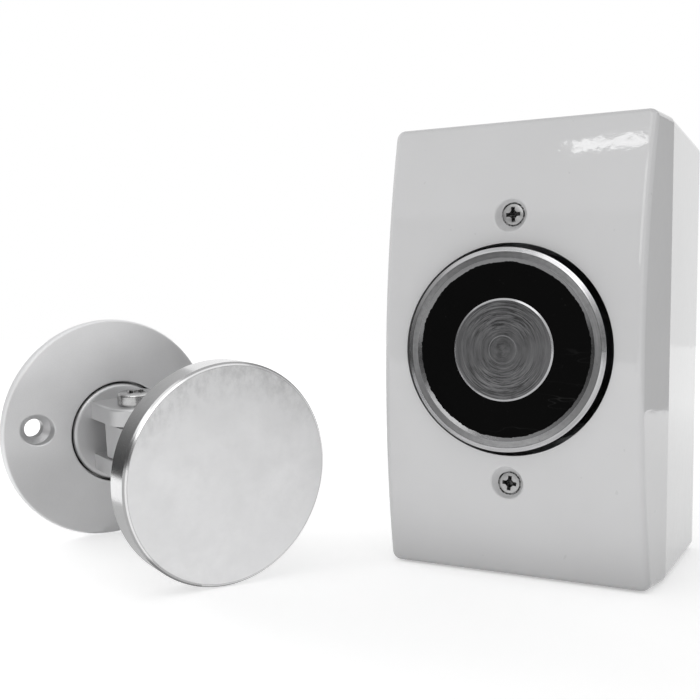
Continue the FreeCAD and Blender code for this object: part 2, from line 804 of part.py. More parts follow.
def make_door_plate():
    """The domed round plate, counterbored behind for the swivel, with two countersunk holes."""
    hole = d.swivel_diameter / 2 + d.swivel_gap
    groove = counterbore + d.ring_groove
    groove_front = washer_back + d.fit_clearance
    groove_back = ring_back - d.fit_clearance
    body = turned_body("door_plate", [
        (hole, lip_back), (hole, d.plate_height), (plate_radius, d.plate_rim), (plate_radius, 0),
        (counterbore, 0), (counterbore, groove_back), (groove, groove_back), (groove, groove_front),
        (counterbore, groove_front), (counterbore, lip_back)], {1: (d.plate_dome_radius, 1)})

    def is_rim(edge):
        return isinstance(edge.Curve, Part.Circle) and is_near(edge.Curve.Radius, plate_radius) \
            and edge.Curve.Center.z > 0.5 * d.plate_rim.value

    def is_mouth(edge):
        return isinstance(edge.Curve, Part.Circle) and is_near(edge.Curve.Radius, hole) \
            and is_near(edge.Curve.Center.z, d.plate_height)

    dress(body, "Fillet", "plate_rim_round", d.plate_rim_radius, is_rim)
    dress(body, "Fillet", "plate_mouth_round", d.plate_edge_radius, is_mouth)
    place = d.plate_hole_circle / 2
    through = d.plate_hole_diameter / 2
    mouth = d.plate_countersink / 2
    seat = dome_height(hole, place + mouth) - d.plate_countersink_sink
    foot = seat - (mouth - through) / tangent(d.plate_countersink_angle / 2)
    section = new_sketch(body, "plate_countersink_section", "XZ_Plane")
    bind(section, "AttachmentOffset.Base.x", place)
    draw_outline(section, [(0, 0), (through, 0), (through, foot), (mouth, seat), (mouth, d.plate_height),
                           (0, d.plate_height)])
    countersink = turn(body, section, "plate_countersink_cut", kind="Groove")
    pattern = body.newObject("PartDesign::PolarPattern", "plate_hole_pattern")
    pattern.Originals = [countersink]
    pattern.Axis = ([item for item in body.Origin.OriginFeatures if item.Role == "Z_Axis"][0], [""])
    pattern.Angle = 360
    pattern.Occurrences = 2
    body.Tip = pattern
    doc.recompute()

    def is_lip(edge):
        return all(is_near(math.hypot(abs(vertex.X) - place.value, vertex.Y), mouth)
                   and vertex.Z > seat.value + 0.01 for vertex in edge.Vertexes)

    dress(body, "Fillet", "plate_countersink_lip", d.plate_countersink_round, is_lip)
    return body


def make_swivel_base():
    """The round swivel with its clevis: a flange behind the plate's lip and two ears in front."""
    body = new_body("swivel_base")
    flange = d.flange_diameter / 2
    insert = d.swivel_diameter / 2
    face = d.plate_height
    half = d.ear_width / 2
    ears = new_sketch(body, "ear_outline", "XZ_Plane")
    draw_outline(ears, [(-half, face - d.ear_root), (half, face - d.ear_root), (half, pivot_height),
                        (0, pivot_height + half), (-half, pivot_height)], {2: (half, -1), 3: (half, -1)})
    extrude(body, "Pad", ears, "ear_block", ear_outside * 2, both_ways=True)
    dress(body, "Fillet", "ear_edges", d.ear_edge,
          lambda edge: is_near(abs(edge.CenterOfMass.y), ear_outside) and edge.CenterOfMass.z > face.value)
    slot = new_sketch(body, "ear_slot", "XZ_Plane")
    draw_rectangle(slot, -d.ear_width, face, d.ear_width, pivot_height + d.ear_width)
    extrude(body, "Pocket", slot, "ear_slot_cut", d.ear_gap, both_ways=True)
    section = new_sketch(body, "swivel_section", "XZ_Plane")
    draw_outline(section, [
        (0, flange_back), (flange, flange_back), (flange, flange_front), (insert, flange_front),
        (insert, face - d.swivel_edge), (insert - d.swivel_edge, face), (0, face)],
        {4: (d.swivel_edge, -1)})
    turn(body, section, "swivel_turned")
    bore = new_sketch(body, "ear_bore", "XZ_Plane")
    draw_circle(bore, 0, pivot_height, d.pivot_diameter / 2 + d.fit_clearance)
    extrude(body, "Pocket", bore, "ear_bore_cut", ear_outside * 3, both_ways=True)
    return body


def make_friction_washer():
    """The thrust washer that the swivel turns on."""
    bore = d.washer_bore / 2
    rim = d.flange_diameter / 2
    high = washer_back + d.washer_thickness
    return turned_body("friction_washer", [(bore, washer_back), (rim, washer_back), (rim, high),
                                           (bore, high)])


def make_retaining_ring():
    """The open spring ring in the plate's groove, behind the washer."""
    bore = d.ring_bore / 2
    rim = counterbore + d.ring_groove - d.fit_clearance
    return turned_body("retaining_ring", [(bore, ring_back), (rim, ring_back), (rim, washer_back),
                                          (bore, washer_back)], angle=d.ring_arc)


def make_pivot_screw():
    """The screw through both ears that the armature hangs on."""
    body = new_body("pivot_screw")
    shank = d.pivot_diameter / 2
    head = d.pivot_head / 2
    top = ear_outside + d.pivot_head_height
    chamfer = d.pivot_head_chamfer
    section = new_sketch(body, "pivot_section", "XY_Plane", pivot_height)
    draw_outline(section, [(0, -ear_outside), (shank, -ear_outside), (shank, ear_outside),
                           (head, ear_outside), (head, top - chamfer), (head - chamfer, top), (0, top)])
    turn(body, section, "pivot_turned")
    cross = new_sketch(body, "pivot_cross", "XZ_Plane", -top)
    bind(cross, "AttachmentOffset.Base.y", pivot_height)
    draw_cross(cross, d.pivot_head * 0.6, d.cross_width * 2)
    extrude(body, "Pocket", cross, "pivot_drive", d.cross_depth, backwards=True)
    return body


def make_armature_stem():
    """The round stem with a flat tongue between the ears and a spigot in the disc."""
    body = new_body("armature_stem")
    half = d.tongue_width / 2
    radius = d.stem_diameter / 2
    spigot = d.spigot_diameter / 2
    chamfer = d.stem_chamfer
    section = new_sketch(body, "stem_section", "XZ_Plane")
    draw_outline(section, [
        (0, shoulder), (radius - chamfer, shoulder), (radius, shoulder + chamfer), (radius, disc_back),
        (spigot, disc_back), (spigot, disc_back + d.spigot_length), (0, disc_back + d.spigot_length)])
    turn(body, section, "stem_turned")
    tongue = new_sketch(body, "tongue_outline", "XZ_Plane")
    tail = pivot_height - d.tongue_rear
    draw_rectangle(tongue, -half, tail, half, shoulder + chamfer)
    extrude(body, "Pad", tongue, "tongue_block", d.ear_gap - d.tongue_side_gap * 2, both_ways=True)
    dress(body, "Fillet", "tongue_edges", d.tongue_edge,
          lambda edge: runs_along(edge, AXIS_Y) and is_near(edge.CenterOfMass.z, tail))
    bore = new_sketch(body, "tongue_bore", "XZ_Plane")
    draw_circle(bore, 0, pivot_height, d.pivot_diameter / 2 + d.pivot_clearance)
    extrude(body, "Pocket", bore, "tongue_bore_cut", d.ear_gap * 2, both_ways=True)
    return body


def make_armature_disc():
    """The steel disc that the magnet holds, tapped behind for the stem."""
    front = d.armature_reach
    tap = d.spigot_diameter / 2 + d.fit_clearance
    tap_end = disc_back + d.spigot_length + d.hole_spare
    edge = d.armature_chamfer
    back_edge = d.armature_back_chamfer
    return turned_body("armature_disc", [
        (tap, disc_back), (armature_radius - back_edge, disc_back),
        (armature_radius, disc_back + back_edge), (armature_radius, front - edge),
        (armature_radius - edge, front), (0, front), (0, tap_end), (tap, tap_end)])


# Where the two halves stand

def wall_place():
    """The wall unit's frame, its Z axis pointing away from the wall."""
    return FreeCAD.Placement(ORIGIN, FreeCAD.Rotation(AXIS_X, 90))


def door_place(roll):
    """The door half's frame: it lies with the rims of its plate and its disc on the floor."""
    plate_touch = (d.plate_rim - d.plate_rim_radius).value
    disc_touch = (d.armature_reach - d.armature_chamfer).value
    lean = math.atan2((plate_radius - armature_radius).value, disc_touch - plate_touch)
    height = plate_touch * math.sin(lean) + plate_radius.value * math.cos(lean)
    floor = -d.unit_height.value / 2
    turned = FreeCAD.Rotation(AXIS_Z, d.stand_turn.value)
    leaned = FreeCAD.Rotation(AXIS_X, 90 + math.degrees(lean))
    rolled = FreeCAD.Rotation(AXIS_Z, roll.value)
    base = FreeCAD.Vector(d.stand_x.value, d.stand_y.value, floor + height)
    return FreeCAD.Placement(base, turned * leaned * rolled)


wall_makers = (make_back_box, make_front_cover, make_cover_screws, make_mounting_strap, make_strap_screws,
               make_magnet_cup, make_center_pole, make_coil_bobbin, make_coil_winding, make_potting_ring,
               make_magnet_bolt, make_bolt_washer, make_terminal_block, make_terminal_screws,
               make_block_screws, make_coil_leads)
plate_makers = (make_door_plate, make_friction_washer, make_retaining_ring)
swivel_makers = (make_swivel_base, make_pivot_screw, make_armature_stem, make_armature_disc)

subparts = []
for makers, place in ((wall_makers, wall_place()), (plate_makers, door_place(d.plate_roll)),
                      (swivel_makers, door_place(d.swivel_roll))):
    for maker in makers:
        part = maker()
        part.Label = maker.__name__.replace("make_", "")
        part.Placement = place
        subparts.append(part)
doc.recompute()

faults = [thing.Name for thing in doc.Objects if "Invalid" in thing.State or "Error" in thing.State]
for part in subparts:
    if part.Shape.isNull() or not part.Shape.isValid() or not part.Shape.Solids:
        faults.append(part.Label)
if faults:
    raise RuntimeError("These objects did not build: " + ", ".join(faults))

os.makedirs("parts", exist_ok=True)
for part in subparts:
    part.Shape.exportStep("parts/%s.step" % part.Label)
    print("%s: %d solid(s), %.1f mm3" % (part.Label, len(part.Shape.Solids), part.Shape.Volume))
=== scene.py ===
import json
import math

import bmesh
import bpy
from mathutils import Matrix, Vector, noise


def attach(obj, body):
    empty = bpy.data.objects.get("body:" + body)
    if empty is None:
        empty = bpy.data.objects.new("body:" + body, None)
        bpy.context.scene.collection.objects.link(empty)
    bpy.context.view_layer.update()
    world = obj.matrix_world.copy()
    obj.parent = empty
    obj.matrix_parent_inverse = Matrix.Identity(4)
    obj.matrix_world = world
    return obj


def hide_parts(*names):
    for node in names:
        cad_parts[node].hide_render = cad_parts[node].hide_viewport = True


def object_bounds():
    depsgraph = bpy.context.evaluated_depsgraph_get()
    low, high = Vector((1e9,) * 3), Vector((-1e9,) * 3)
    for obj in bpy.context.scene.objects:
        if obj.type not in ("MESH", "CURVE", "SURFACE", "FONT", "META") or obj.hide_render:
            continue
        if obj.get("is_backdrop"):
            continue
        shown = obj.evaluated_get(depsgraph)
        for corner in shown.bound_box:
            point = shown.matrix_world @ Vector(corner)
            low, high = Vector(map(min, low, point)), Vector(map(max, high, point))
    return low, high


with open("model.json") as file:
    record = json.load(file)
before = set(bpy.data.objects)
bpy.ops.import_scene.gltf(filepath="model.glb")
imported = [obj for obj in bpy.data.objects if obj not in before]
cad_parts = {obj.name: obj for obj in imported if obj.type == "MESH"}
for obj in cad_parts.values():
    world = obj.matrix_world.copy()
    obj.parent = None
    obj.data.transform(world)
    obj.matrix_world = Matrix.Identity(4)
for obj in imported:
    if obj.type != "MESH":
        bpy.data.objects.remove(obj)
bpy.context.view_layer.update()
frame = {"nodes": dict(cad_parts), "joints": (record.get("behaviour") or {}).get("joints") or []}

bl_info = {
    "name": "Door holder finishes",
    "version": (1, 0, 0),
    "blender": (4, 5, 0),
    "location": "3D View > Sidebar > Door holder",
    "description": "Finishes, screws and studio stage for a magnetic door holder and its swivel armature",
    "category": "3D View",
}

MM = 0.001
MICRON = 0.000001


# Places of the wall unit, the door half and the pivot, from the frame

def joint_of(name):
    """The frame's joint of that name."""
    for joint in frame["joints"]:
        if joint["name"] == name:
            return joint
    raise KeyError(name)


def place_along(origin, across, up, out):
    """The matrix of a place with these axes at that origin."""
    turn = Matrix((across, up, out)).transposed().to_4x4()
    return Matrix.Translation(origin) @ turn


door_out = Vector(joint_of("swivel_turn")["axis"]).normalized()
pivot_up = Vector(joint_of("armature_tilt")["axis"]).normalized()
door_across = pivot_up.cross(door_out)

wall_place = place_along((0, 0, 0), Vector((1, 0, 0)), Vector((0, 0, 1)), Vector((0, -1, 0)))
door_place = place_along(joint_of("swivel_turn")["pos_m"], door_across, pivot_up, door_out)
pivot_place = place_along(joint_of("armature_tilt")["pos_m"], door_across, -door_out, pivot_up)


def local_points(node, place):
    """A CAD node's corners in a place's own frame."""
    inverse = place.inverted()
    return [inverse @ vertex.co for vertex in frame["nodes"][node].data.vertices]


def turned_size(node, place):
    """Smallest and largest radius, lowest and highest point of a CAD node about a place's Z axis."""
    points = local_points(node, place)
    radii = [math.hypot(point.x, point.y) for point in points]
    heights = [point.z for point in points]
    return min(radii), max(radii), min(heights), max(heights)


# Radii at which a finish changes, from the axis of its place
RING_BEVEL_FOOT = (22.1 * MM, 22.4 * MM)
RING_SHADE_LINE = 23.53 * MM
CORE_CALM = (3.5 * MM, 7.5 * MM)
CORE_PALE = (3.0 * MM, 11.5 * MM)
CORE_RING = 3.4 * MM
SWIVEL_GAP = 14.35 * MM
PLATE_RIM = (31.3 * MM, 31.7 * MM)
DISC_BAND = (17.0 * MM, 25.5 * MM)
DISC_SHADE_LINE = 26.18 * MM
DISC_CHAMFER_SHADE = (26.55 * MM, 26.68 * MM)

# Where else a finish changes, along its place's own axes
DISC_SMEAR_RISE = (6.0 * MM, 18.0 * MM)
RESIN_CORNER = (12.0 * MM, 26.0 * MM)

# Painted reflection: three soft lobes of darker tone round the ring's face
REFLECTION_LOBES = 3.0
REFLECTION_LOBE_TURN = math.radians(40)

# Colours that no setting holds
RING_WALL_SHADE = (0.012, 0.012, 0.012, 1.0)
GAP_SHADE = (0.01, 0.01, 0.01, 1.0)
RESIN_SCRATCH = (0.03, 0.03, 0.03, 1.0)
RECESS_SHADE = (0.045, 0.045, 0.045)
STRAP_ZINC = (0.57, 0.58, 0.60)
SPOOL_BLACK = (0.10, 0.10, 0.10)
TERMINAL_DARK = (0.07, 0.07, 0.075)
LEAD_RED = (0.36, 0.045, 0.035)
COPPER = (0.62, 0.28, 0.13)
BRASS = (0.72, 0.52, 0.22)
WHITE = (1.0, 1.0, 1.0, 1.0)
# Painted shade: the pivot screw's steel is a darker copy of the cover screws'
PIVOT_SHADE = 0.93

# Sizes of made pieces that the frame's points don't show
CORE_BORE = 3.05 * MM
PIVOT_SHANK = 3.0 * MM
SCREW_TURNS = ((1, math.radians(3)), (-1, math.radians(-6)))
PIVOT_CROSS_TURN = math.radians(24)

# The floor: its rings, and how its lift to white grows with the distance
FLOOR_RINGS = (0.1, 0.25, 0.6, 1.4, 3.0)
FLOOR_STEPS = 64
FLOOR_LIFT = (("From Min", 0.18), ("From Max", 0.55), ("To Min", 0.42), ("To Max", 0.65))

# Flags: name, foot's start and end, foot's height, rise, and strength at the foot and at the top
FLAGS = (
    ("left_flag", (-0.205, -0.35), (-0.205, 0.02), 0.012, (0.0, 0.0, 0.188), 0.05, 0.62),
    ("right_flag", (0.16, 0.32), (0.46, -0.25), 0.0125, (0.0, 0.0, 0.3075), 0.2, 0.2),
    ("front_flag", (-0.95, -0.75), (0.75, -0.9), 0.0, (0.0, 0.0, 0.45), 0.09, 0.5),
    ("table_card", (-0.16, -0.09), (-0.105, -0.045), 0.0004, (0.05, -0.065, 0.0), 0.55, 0.55),
)
FLAG_STEPS = 8
FLAG_LEVELS = 4
GLINT_TURN = math.radians(16)

SENSOR = 36.0
LENS_SHIFT = (-0.0011, 0.0061)


# Sizes and colours that a user may change

def colour_setting(name, description, default):
    """A colour."""
    return bpy.props.FloatVectorProperty(name=name, description=description, subtype="COLOR", size=3,
                                         min=0.0, max=1.0, default=default)


def share_setting(name, description, default):
    """A share from 0 to 1."""
    return bpy.props.FloatProperty(name=name, description=description, subtype="FACTOR",
                                   min=0.0, max=1.0, default=default)


def length_setting(name, description, low, high, default):
    """A small length."""
    return bpy.props.FloatProperty(name=name, description=description, subtype="DISTANCE", unit="LENGTH",
                                   min=low, max=high, precision=6, default=default)


def power_setting(name, description, default):
    """A lamp's power."""
    return bpy.props.FloatProperty(name=name, description=description, unit="POWER",
                                   min=0.0, max=100.0, default=default)


class EnamelSettings(bpy.types.PropertyGroup):
    """Gloss paint of the back box and the arched cover."""

    colour: colour_setting("Enamel", "Colour of the gloss paint", (0.585, 0.585, 0.59))
    roughness: share_setting("Roughness", "Roughness of the gloss paint", 0.05)
    peel: length_setting("Orange peel", "Height of the waves left in the sprayed paint", 0.0, 0.001, 0.000025)


class MagnetSettings(bpy.types.PropertyGroup):
    """Round magnet: ring, core and potting."""

    ring_colour: colour_setting("Zinc ring", "Colour of the plated pole ring", (0.365, 0.365, 0.37))
    core_colour: colour_setting("Turned core", "Colour of the turned steel core", (0.135, 0.135, 0.138))
    potting_colour: colour_setting("Potting", "Colour of the poured resin", (0.0014, 0.0014, 0.0014))
    groove_depth: length_setting(
        "Turning marks", "Depth of the lathe grooves in the core's face", 0.0, 0.0002, 0.000014)
    resin_creep: length_setting(
        "Resin creep", "How far the resin has crept up the ring's inner edge", 0.0, 0.0005, 0.00042)


class ScrewSettings(bpy.types.PropertyGroup):
    """Cover screws and pivot screw."""

    colour: colour_setting("Screw steel", "Colour of the plated screws", (0.5, 0.5, 0.5))
    head_gap: length_setting(
        "Head seam", "Width of the dark seam round a cover screw's head", 0.0, 0.0009, 0.00045)
    thread_pitch: length_setting("Thread pitch", "Pitch of the cover screw's thread", 0.0003, 0.002, 0.0006)


class DoorHalfSettings(bpy.types.PropertyGroup):
    """Domed plate, swivel and armature disc."""

    plate_colour: colour_setting(
        "Cast plate", "Colour of the satin cast plate and swivel", (0.585, 0.585, 0.59))
    disc_colour: colour_setting("Armature disc", "Colour of the ground steel disc", (0.765, 0.765, 0.77))
    disc_smear: share_setting("Disc smear", "How dark the rubbed patch at the top of the disc is", 0.5)


class StageSettings(bpy.types.PropertyGroup):
    """Camera, floor and studio light."""

    camera_spot: bpy.props.FloatVectorProperty(
        name="Camera place", description="Where the camera stands", subtype="TRANSLATION", unit="LENGTH",
        size=3, precision=4, default=(0.074402, -0.284863, 0.005896))
    camera_turn: bpy.props.FloatVectorProperty(
        name="Camera turn", description="Yaw, pitch and roll of the camera", subtype="EULER", unit="ROTATION",
        size=3, precision=4, default=(math.radians(27.76), math.radians(-1.82), math.radians(0.51)))
    lens: bpy.props.FloatProperty(
        name="Lens", description="Focal length on a 36 mm sensor", min=10.0, max=300.0, default=49.10)
    floor_colour: colour_setting("Floor", "Colour of the pale floor", (0.86, 0.86, 0.86))
    fill: bpy.props.FloatProperty(
        name="Fill light", description="Strength of the soft light from all round", min=0.0, max=3.0,
        default=0.62)
    overhead: power_setting("Overhead lamp", "Power of the large lamp above", 0.3)
    key: power_setting("Front lamp", "Power of the soft lamp in front", 1.5)
    table: power_setting("Table lamps", "Power of the wide lamps on the floor, which light from below", 2.5)
    window: power_setting("Window", "Power of the bright window that shows in the polished bevels", 0.6)


SETTINGS = {
    "holder_enamel": EnamelSettings,
    "holder_magnet": MagnetSettings,
    "holder_screws": ScrewSettings,
    "holder_door_half": DoorHalfSettings,
    "holder_stage": StageSettings,
}


# Finishes

class Finish:
    """A material drawn with nodes in one place's own frame."""

    def __init__(self, name, place, colour, metal, roughness):
        self.material = bpy.data.materials.new(name)
        self.material.use_nodes = True
        self.tree = self.material.node_tree
        self.shader = self.tree.nodes["Principled BSDF"]
        self.colour = tuple(colour)
        for name, value in (("Base Color", self.shade(1.0)), ("Metallic", metal), ("Roughness", roughness)):
            self.shader.inputs[name].default_value = value
        self.normal = None
        coordinates = self.node("ShaderNodeTexCoord")
        self.facing = coordinates.outputs["Normal"]
        self.place = place
        self.spot = self.in_place(coordinates.outputs["Object"])

    def node(self, kind, feeds=(), **settings):
        """A new node with these settings, and what feeds its sockets by name or number."""
        made = self.tree.nodes.new(kind)
        for name, value in settings.items():
            setattr(made, name, value)
        for socket, value in dict(feeds).items():
            self.feed(made.inputs[socket], value)
        return made

    def feed(self, socket, value):
        """Links a socket to another, or sets its value."""
        if isinstance(value, bpy.types.NodeSocket):
            self.tree.links.new(value, socket)
        else:
            socket.default_value = value

    def vector(self, operation, first, second=None):
        """What an operation on vectors gives, which is a number for a length or a dot product."""
        made = self.node("ShaderNodeVectorMath", operation=operation)
        self.feed(made.inputs[0], first)
        if second is not None:
            self.feed(made.inputs[1], second)
        return made.outputs["Value" if operation in ("LENGTH", "DOT_PRODUCT") else "Vector"]

    def number(self, operation, first, second=0.0, clamp=False):
        """What an operation on one or two numbers gives."""
        made = self.node("ShaderNodeMath", {0: first, 1: second}, operation=operation, use_clamp=clamp)
        return made.outputs[0]

    def product(self, first, second):
        """Two numbers multiplied."""
        return self.number("MULTIPLY", first, second)

    def near(self, value, middle, width):
        """1 where a value lies within a width of the middle, and 0 elsewhere."""
        made = self.node("ShaderNodeMath", {0: value, 1: middle, 2: width}, operation="COMPARE")
        return made.outputs[0]

    def joined(self, across, up, out):
        """A vector of three numbers."""
        return self.node("ShaderNodeCombineXYZ", {0: across, 1: up, 2: out}).outputs[0]

    def in_place(self, spot):
        """A point of the row frame in the place's own frame."""
        origin = self.place.to_translation()
        moved = self.vector("SUBTRACT", spot, tuple(origin))
        axes = self.place.to_3x3().transposed()
        return self.joined(*[self.vector("DOT_PRODUCT", moved, tuple(axis)) for axis in axes])

    def parts(self):
        """How far a point lies across, up and out in the place's own frame."""
        return tuple(self.node("ShaderNodeSeparateXYZ", {0: self.spot}).outputs)

    def outward(self):
        """How far a face looks along the place's Z axis."""
        return self.vector("DOT_PRODUCT", self.facing, tuple(self.place.to_3x3().transposed()[2]))

    def radius(self):
        """Distance from the place's Z axis."""
        return self.vector("LENGTH", self.vector("MULTIPLY", self.spot, (1.0, 1.0, 0.0)))

    def round_about(self, per_radius, per_turn):
        """A point that changes fast with the radius and slowly round the axis, for turning marks."""
        flat = self.vector("MULTIPLY", self.spot, (1.0, 1.0, 0.0))
        direction = self.vector("MULTIPLY", self.vector("NORMALIZE", flat), (per_turn, per_turn, 0.0))
        rise = self.joined(0.0, 0.0, self.product(self.radius(), per_radius))
        return self.vector("ADD", direction, rise)

    def grain(self, scale, detail=2.0, roughness=0.5, spot=None, stretch=None):
        """Noise at a scale per metre."""
        where = self.spot if spot is None else spot
        if stretch is not None:
            where = self.vector("MULTIPLY", where, stretch)
        made = self.node("ShaderNodeTexNoise", {
            "Vector": where, "Scale": scale, "Detail": detail, "Roughness": roughness})
        return made.outputs["Fac"]

    def ranged(self, value, start, end, low=0.0, high=1.0):
        """A value taken from one range to another, clamped."""
        made = self.node("ShaderNodeMapRange", {
            "Value": value, "From Min": start, "From Max": end, "To Min": low, "To Max": high})
        return made.outputs["Result"]

    def spread(self, grain, low=0.0, high=1.0):
        """Noise taken from the range that most of it fills to another range."""
        return self.ranged(grain, 0.3, 0.7, low, high)

    def shade(self, factor):
        """The finish's colour times a factor."""
        return tuple(min(1.0, part * factor) for part in self.colour) + (1.0,)

    def mixed(self, share, first, second):
        """A colour between two colours."""
        made = self.node("ShaderNodeMix", {"Factor": share, 6: first, 7: second}, data_type="RGBA")
        return made.outputs[2]

    def between(self, share, first, second):
        """A colour between two shades of the finish's colour."""
        return self.mixed(share, self.shade(first), self.shade(second))

    def toned(self, tone, share, factor):
        """A colour drawn towards a shade of the finish's colour."""
        return self.mixed(share, tone, self.shade(factor))

    def bump(self, height, distance, strength=1.0):
        """Adds relief to the surface."""
        made = self.node("ShaderNodeBump", {"Height": height, "Distance": distance, "Strength": strength})
        if self.normal is not None:
            self.feed(made.inputs["Normal"], self.normal)
        self.normal = made.outputs["Normal"]
        self.feed(self.shader.inputs["Normal"], self.normal)

    def paint(self, colour):
        """Sets the base colour."""
        self.feed(self.shader.inputs["Base Color"], colour)

    def brushed_round(self, strength):
        """Spreads reflections across grooves that run round the wall's axis."""
        self.shader.inputs["Anisotropic"].default_value = strength
        along = self.node("ShaderNodeTangent", direction_type="RADIAL", axis="Y")
        self.feed(self.shader.inputs["Tangent"], along.outputs["Tangent"])

    def rough(self, value):
        """Sets the roughness."""
        self.feed(self.shader.inputs["Roughness"], value)


def gloss_enamel(settings):
    """Sprayed gloss enamel with orange peel, faint clouds and dust flecks."""
    gloss = settings.roughness
    finish = Finish("grey_gloss_enamel", wall_place, settings.colour, 0.0, gloss)
    cloud = finish.grain(28.0, 3.0, 0.55)
    tone = finish.between(finish.spread(cloud), 0.975, 1.02)
    fleck = finish.ranged(finish.grain(620.0, 0.0), 0.855, 0.875, 0.0, 0.18)
    finish.paint(finish.toned(tone, fleck, 0.55))
    finish.rough(finish.spread(finish.grain(160.0), gloss * 0.85, gloss * 1.2))
    finish.bump(finish.grain(330.0, 1.0, 0.4), settings.peel)
    finish.bump(finish.grain(760.0, 1.0), settings.peel * 0.4)
    finish.bump(finish.grain(2600.0), 1.2 * MICRON)
    return finish.material


def zinc_ring(settings):
    """Bright zinc plate on a turned ring.

    The face is painted darker in three soft lobes round its axis, a painted reflection. The bevels are
    polished and painted brighter than the face, a painted highlight, and the inner bevel is painted darker
    again, a painted shade. A thin painted shade line runs where the face meets the outer bevel, and the
    outer wall is painted black as shade in the gap round the ring.
    """
    finish = Finish("bright_zinc_ring", wall_place, settings.ring_colour, 1.0, 0.3)
    turned = finish.grain(1.0, 3.0, 0.6, spot=finish.round_about(2600.0, 2.4))
    mottle = finish.grain(900.0, 4.0, 0.65)
    both = finish.product(finish.number("ADD", turned, mottle), 0.5)
    tone = finish.between(finish.ranged(both, 0.35, 0.65), 0.8, 1.16)
    across, up, _ = finish.parts()
    # Painted reflection: the face is painted darker in three lobes round its axis
    angle = finish.number("SUBTRACT", finish.number("ARCTAN2", up, across), REFLECTION_LOBE_TURN)
    painted_lobe = finish.number("COSINE", finish.product(angle, REFLECTION_LOBES))
    tone = finish.toned(tone, finish.ranged(painted_lobe, -1.0, 1.0, 0.7, 0.0), 0.42)
    pit = finish.ranged(finish.grain(1300.0, 1.0), 0.72, 0.78, 0.0, 0.7)
    tone = finish.toned(tone, pit, 0.35)
    # Painted highlight: the bevels are painted brighter than the face; painted shade: the inner bevel is drawn
    # darker again
    polish_and_highlight = finish.between(finish.ranged(turned, 0.35, 0.65), 1.1, 1.45)
    inner = finish.ranged(finish.radius(), *RING_BEVEL_FOOT, 0.85, 0.0)
    polish_and_highlight = finish.toned(polish_and_highlight, inner, 0.42)
    face = finish.ranged(finish.outward(), 0.945, 0.985)
    tone = finish.mixed(face, polish_and_highlight, tone)
    # Painted shade: a thin darker line where the face meets the outer bevel
    shade_line = finish.near(finish.radius(), RING_SHADE_LINE, 0.08 * MM)
    tone = finish.toned(tone, finish.product(shade_line, 0.6), 0.3)
    # Painted shade: the outer wall, down in the gap round the ring, is painted black
    side = finish.ranged(finish.outward(), 0.15, 0.3, 1.0, 0.0)
    finish.paint(finish.mixed(side, tone, RING_WALL_SHADE))
    finish.rough(finish.number("ADD", finish.ranged(face, 0.0, 1.0, 0.2, 0.36),
                               finish.spread(mottle, -0.03, 0.05)))
    finish.bump(turned, 6 * MICRON, 0.6)
    finish.bump(mottle, 5 * MICRON, 0.5)
    return finish.material


def turned_core(settings):
    """Dark turned steel: lathe lines painted with more contrast above and below the middle, a painted
    reflection, and a bevel painted brighter than the face, a painted highlight.
    """
    finish = Finish("turned_core_steel", wall_place, settings.core_colour, 1.0, 0.36)
    fine = finish.grain(1.0, 4.0, 0.75, spot=finish.round_about(4300.0, 1.6))
    broad = finish.grain(1.0, spot=finish.round_about(760.0, 0.9))
    patch = finish.grain(190.0, 3.0, 0.55)
    _, up, _ = finish.parts()
    # Painted reflection: the lathe lines get more contrast above and below the middle
    steep = finish.number("ABSOLUTE", finish.number("DIVIDE", up, finish.radius()))
    reach = finish.ranged(finish.radius(), *CORE_CALM, 0.1, 1.0)
    painted_sheen_contrast = finish.product(finish.ranged(steep, 0.3, 0.85, 0.2, 1.0), reach)
    lines = finish.product(finish.number("SUBTRACT", fine, 0.5), painted_sheen_contrast)
    bands = finish.product(finish.number("SUBTRACT", broad, 0.5), 0.14)
    blend = finish.number("ADD", lines, bands)
    tone = finish.between(finish.ranged(blend, -0.075, 0.095), 0.15, 1.9)
    tone = finish.toned(tone, finish.ranged(finish.radius(), *CORE_PALE, 0.0, 0.3), 1.5)
    tone = finish.toned(tone, finish.ranged(patch, 0.45, 0.75, 0.0, 0.35), 1.45)
    ring = finish.near(finish.radius(), CORE_RING, 0.09 * MM)
    tone = finish.toned(tone, finish.product(ring, 0.55), 2.2)
    # Painted highlight: the bevel is painted 3.2 times brighter than the face
    face = finish.ranged(finish.outward(), 0.9, 0.97)
    finish.paint(finish.mixed(face, finish.shade(3.2), tone))
    finish.rough(finish.ranged(face, 0.0, 1.0, 0.18, 0.4))
    finish.bump(broad, 10 * MICRON, 0.5)
    finish.bump(fine, 8 * MICRON, 0.7)
    finish.brushed_round(0.35)
    return finish.material


def potting_resin(settings):
    """Black poured resin, nearly matte, with dust and with pale hair scratches at its lower right."""
    finish = Finish("black_potting_resin", wall_place, settings.potting_colour, 0.0, 0.52)
    finish.shader.inputs["Specular IOR Level"].default_value = 0.04
    streak = finish.grain(46.0, stretch=(1.0, 4.5, 1.0))
    across, up, _ = finish.parts()
    corner = finish.ranged(finish.number("SUBTRACT", across, up), *RESIN_CORNER)
    scratch = finish.product(finish.product(finish.near(streak, 0.5, 0.004), corner), 0.3)
    dust = finish.ranged(finish.grain(1100.0, 1.0), 0.76, 0.82, 0.0, 0.35)
    pale = finish.number("MAXIMUM", scratch, dust)
    finish.paint(finish.mixed(pale, finish.shade(1.0), RESIN_SCRATCH))
    finish.rough(finish.spread(finish.grain(240.0, 3.0), 0.45, 0.6))
    finish.bump(finish.grain(420.0, 3.0, 0.6), 30 * MICRON, 0.5)
    return finish.material


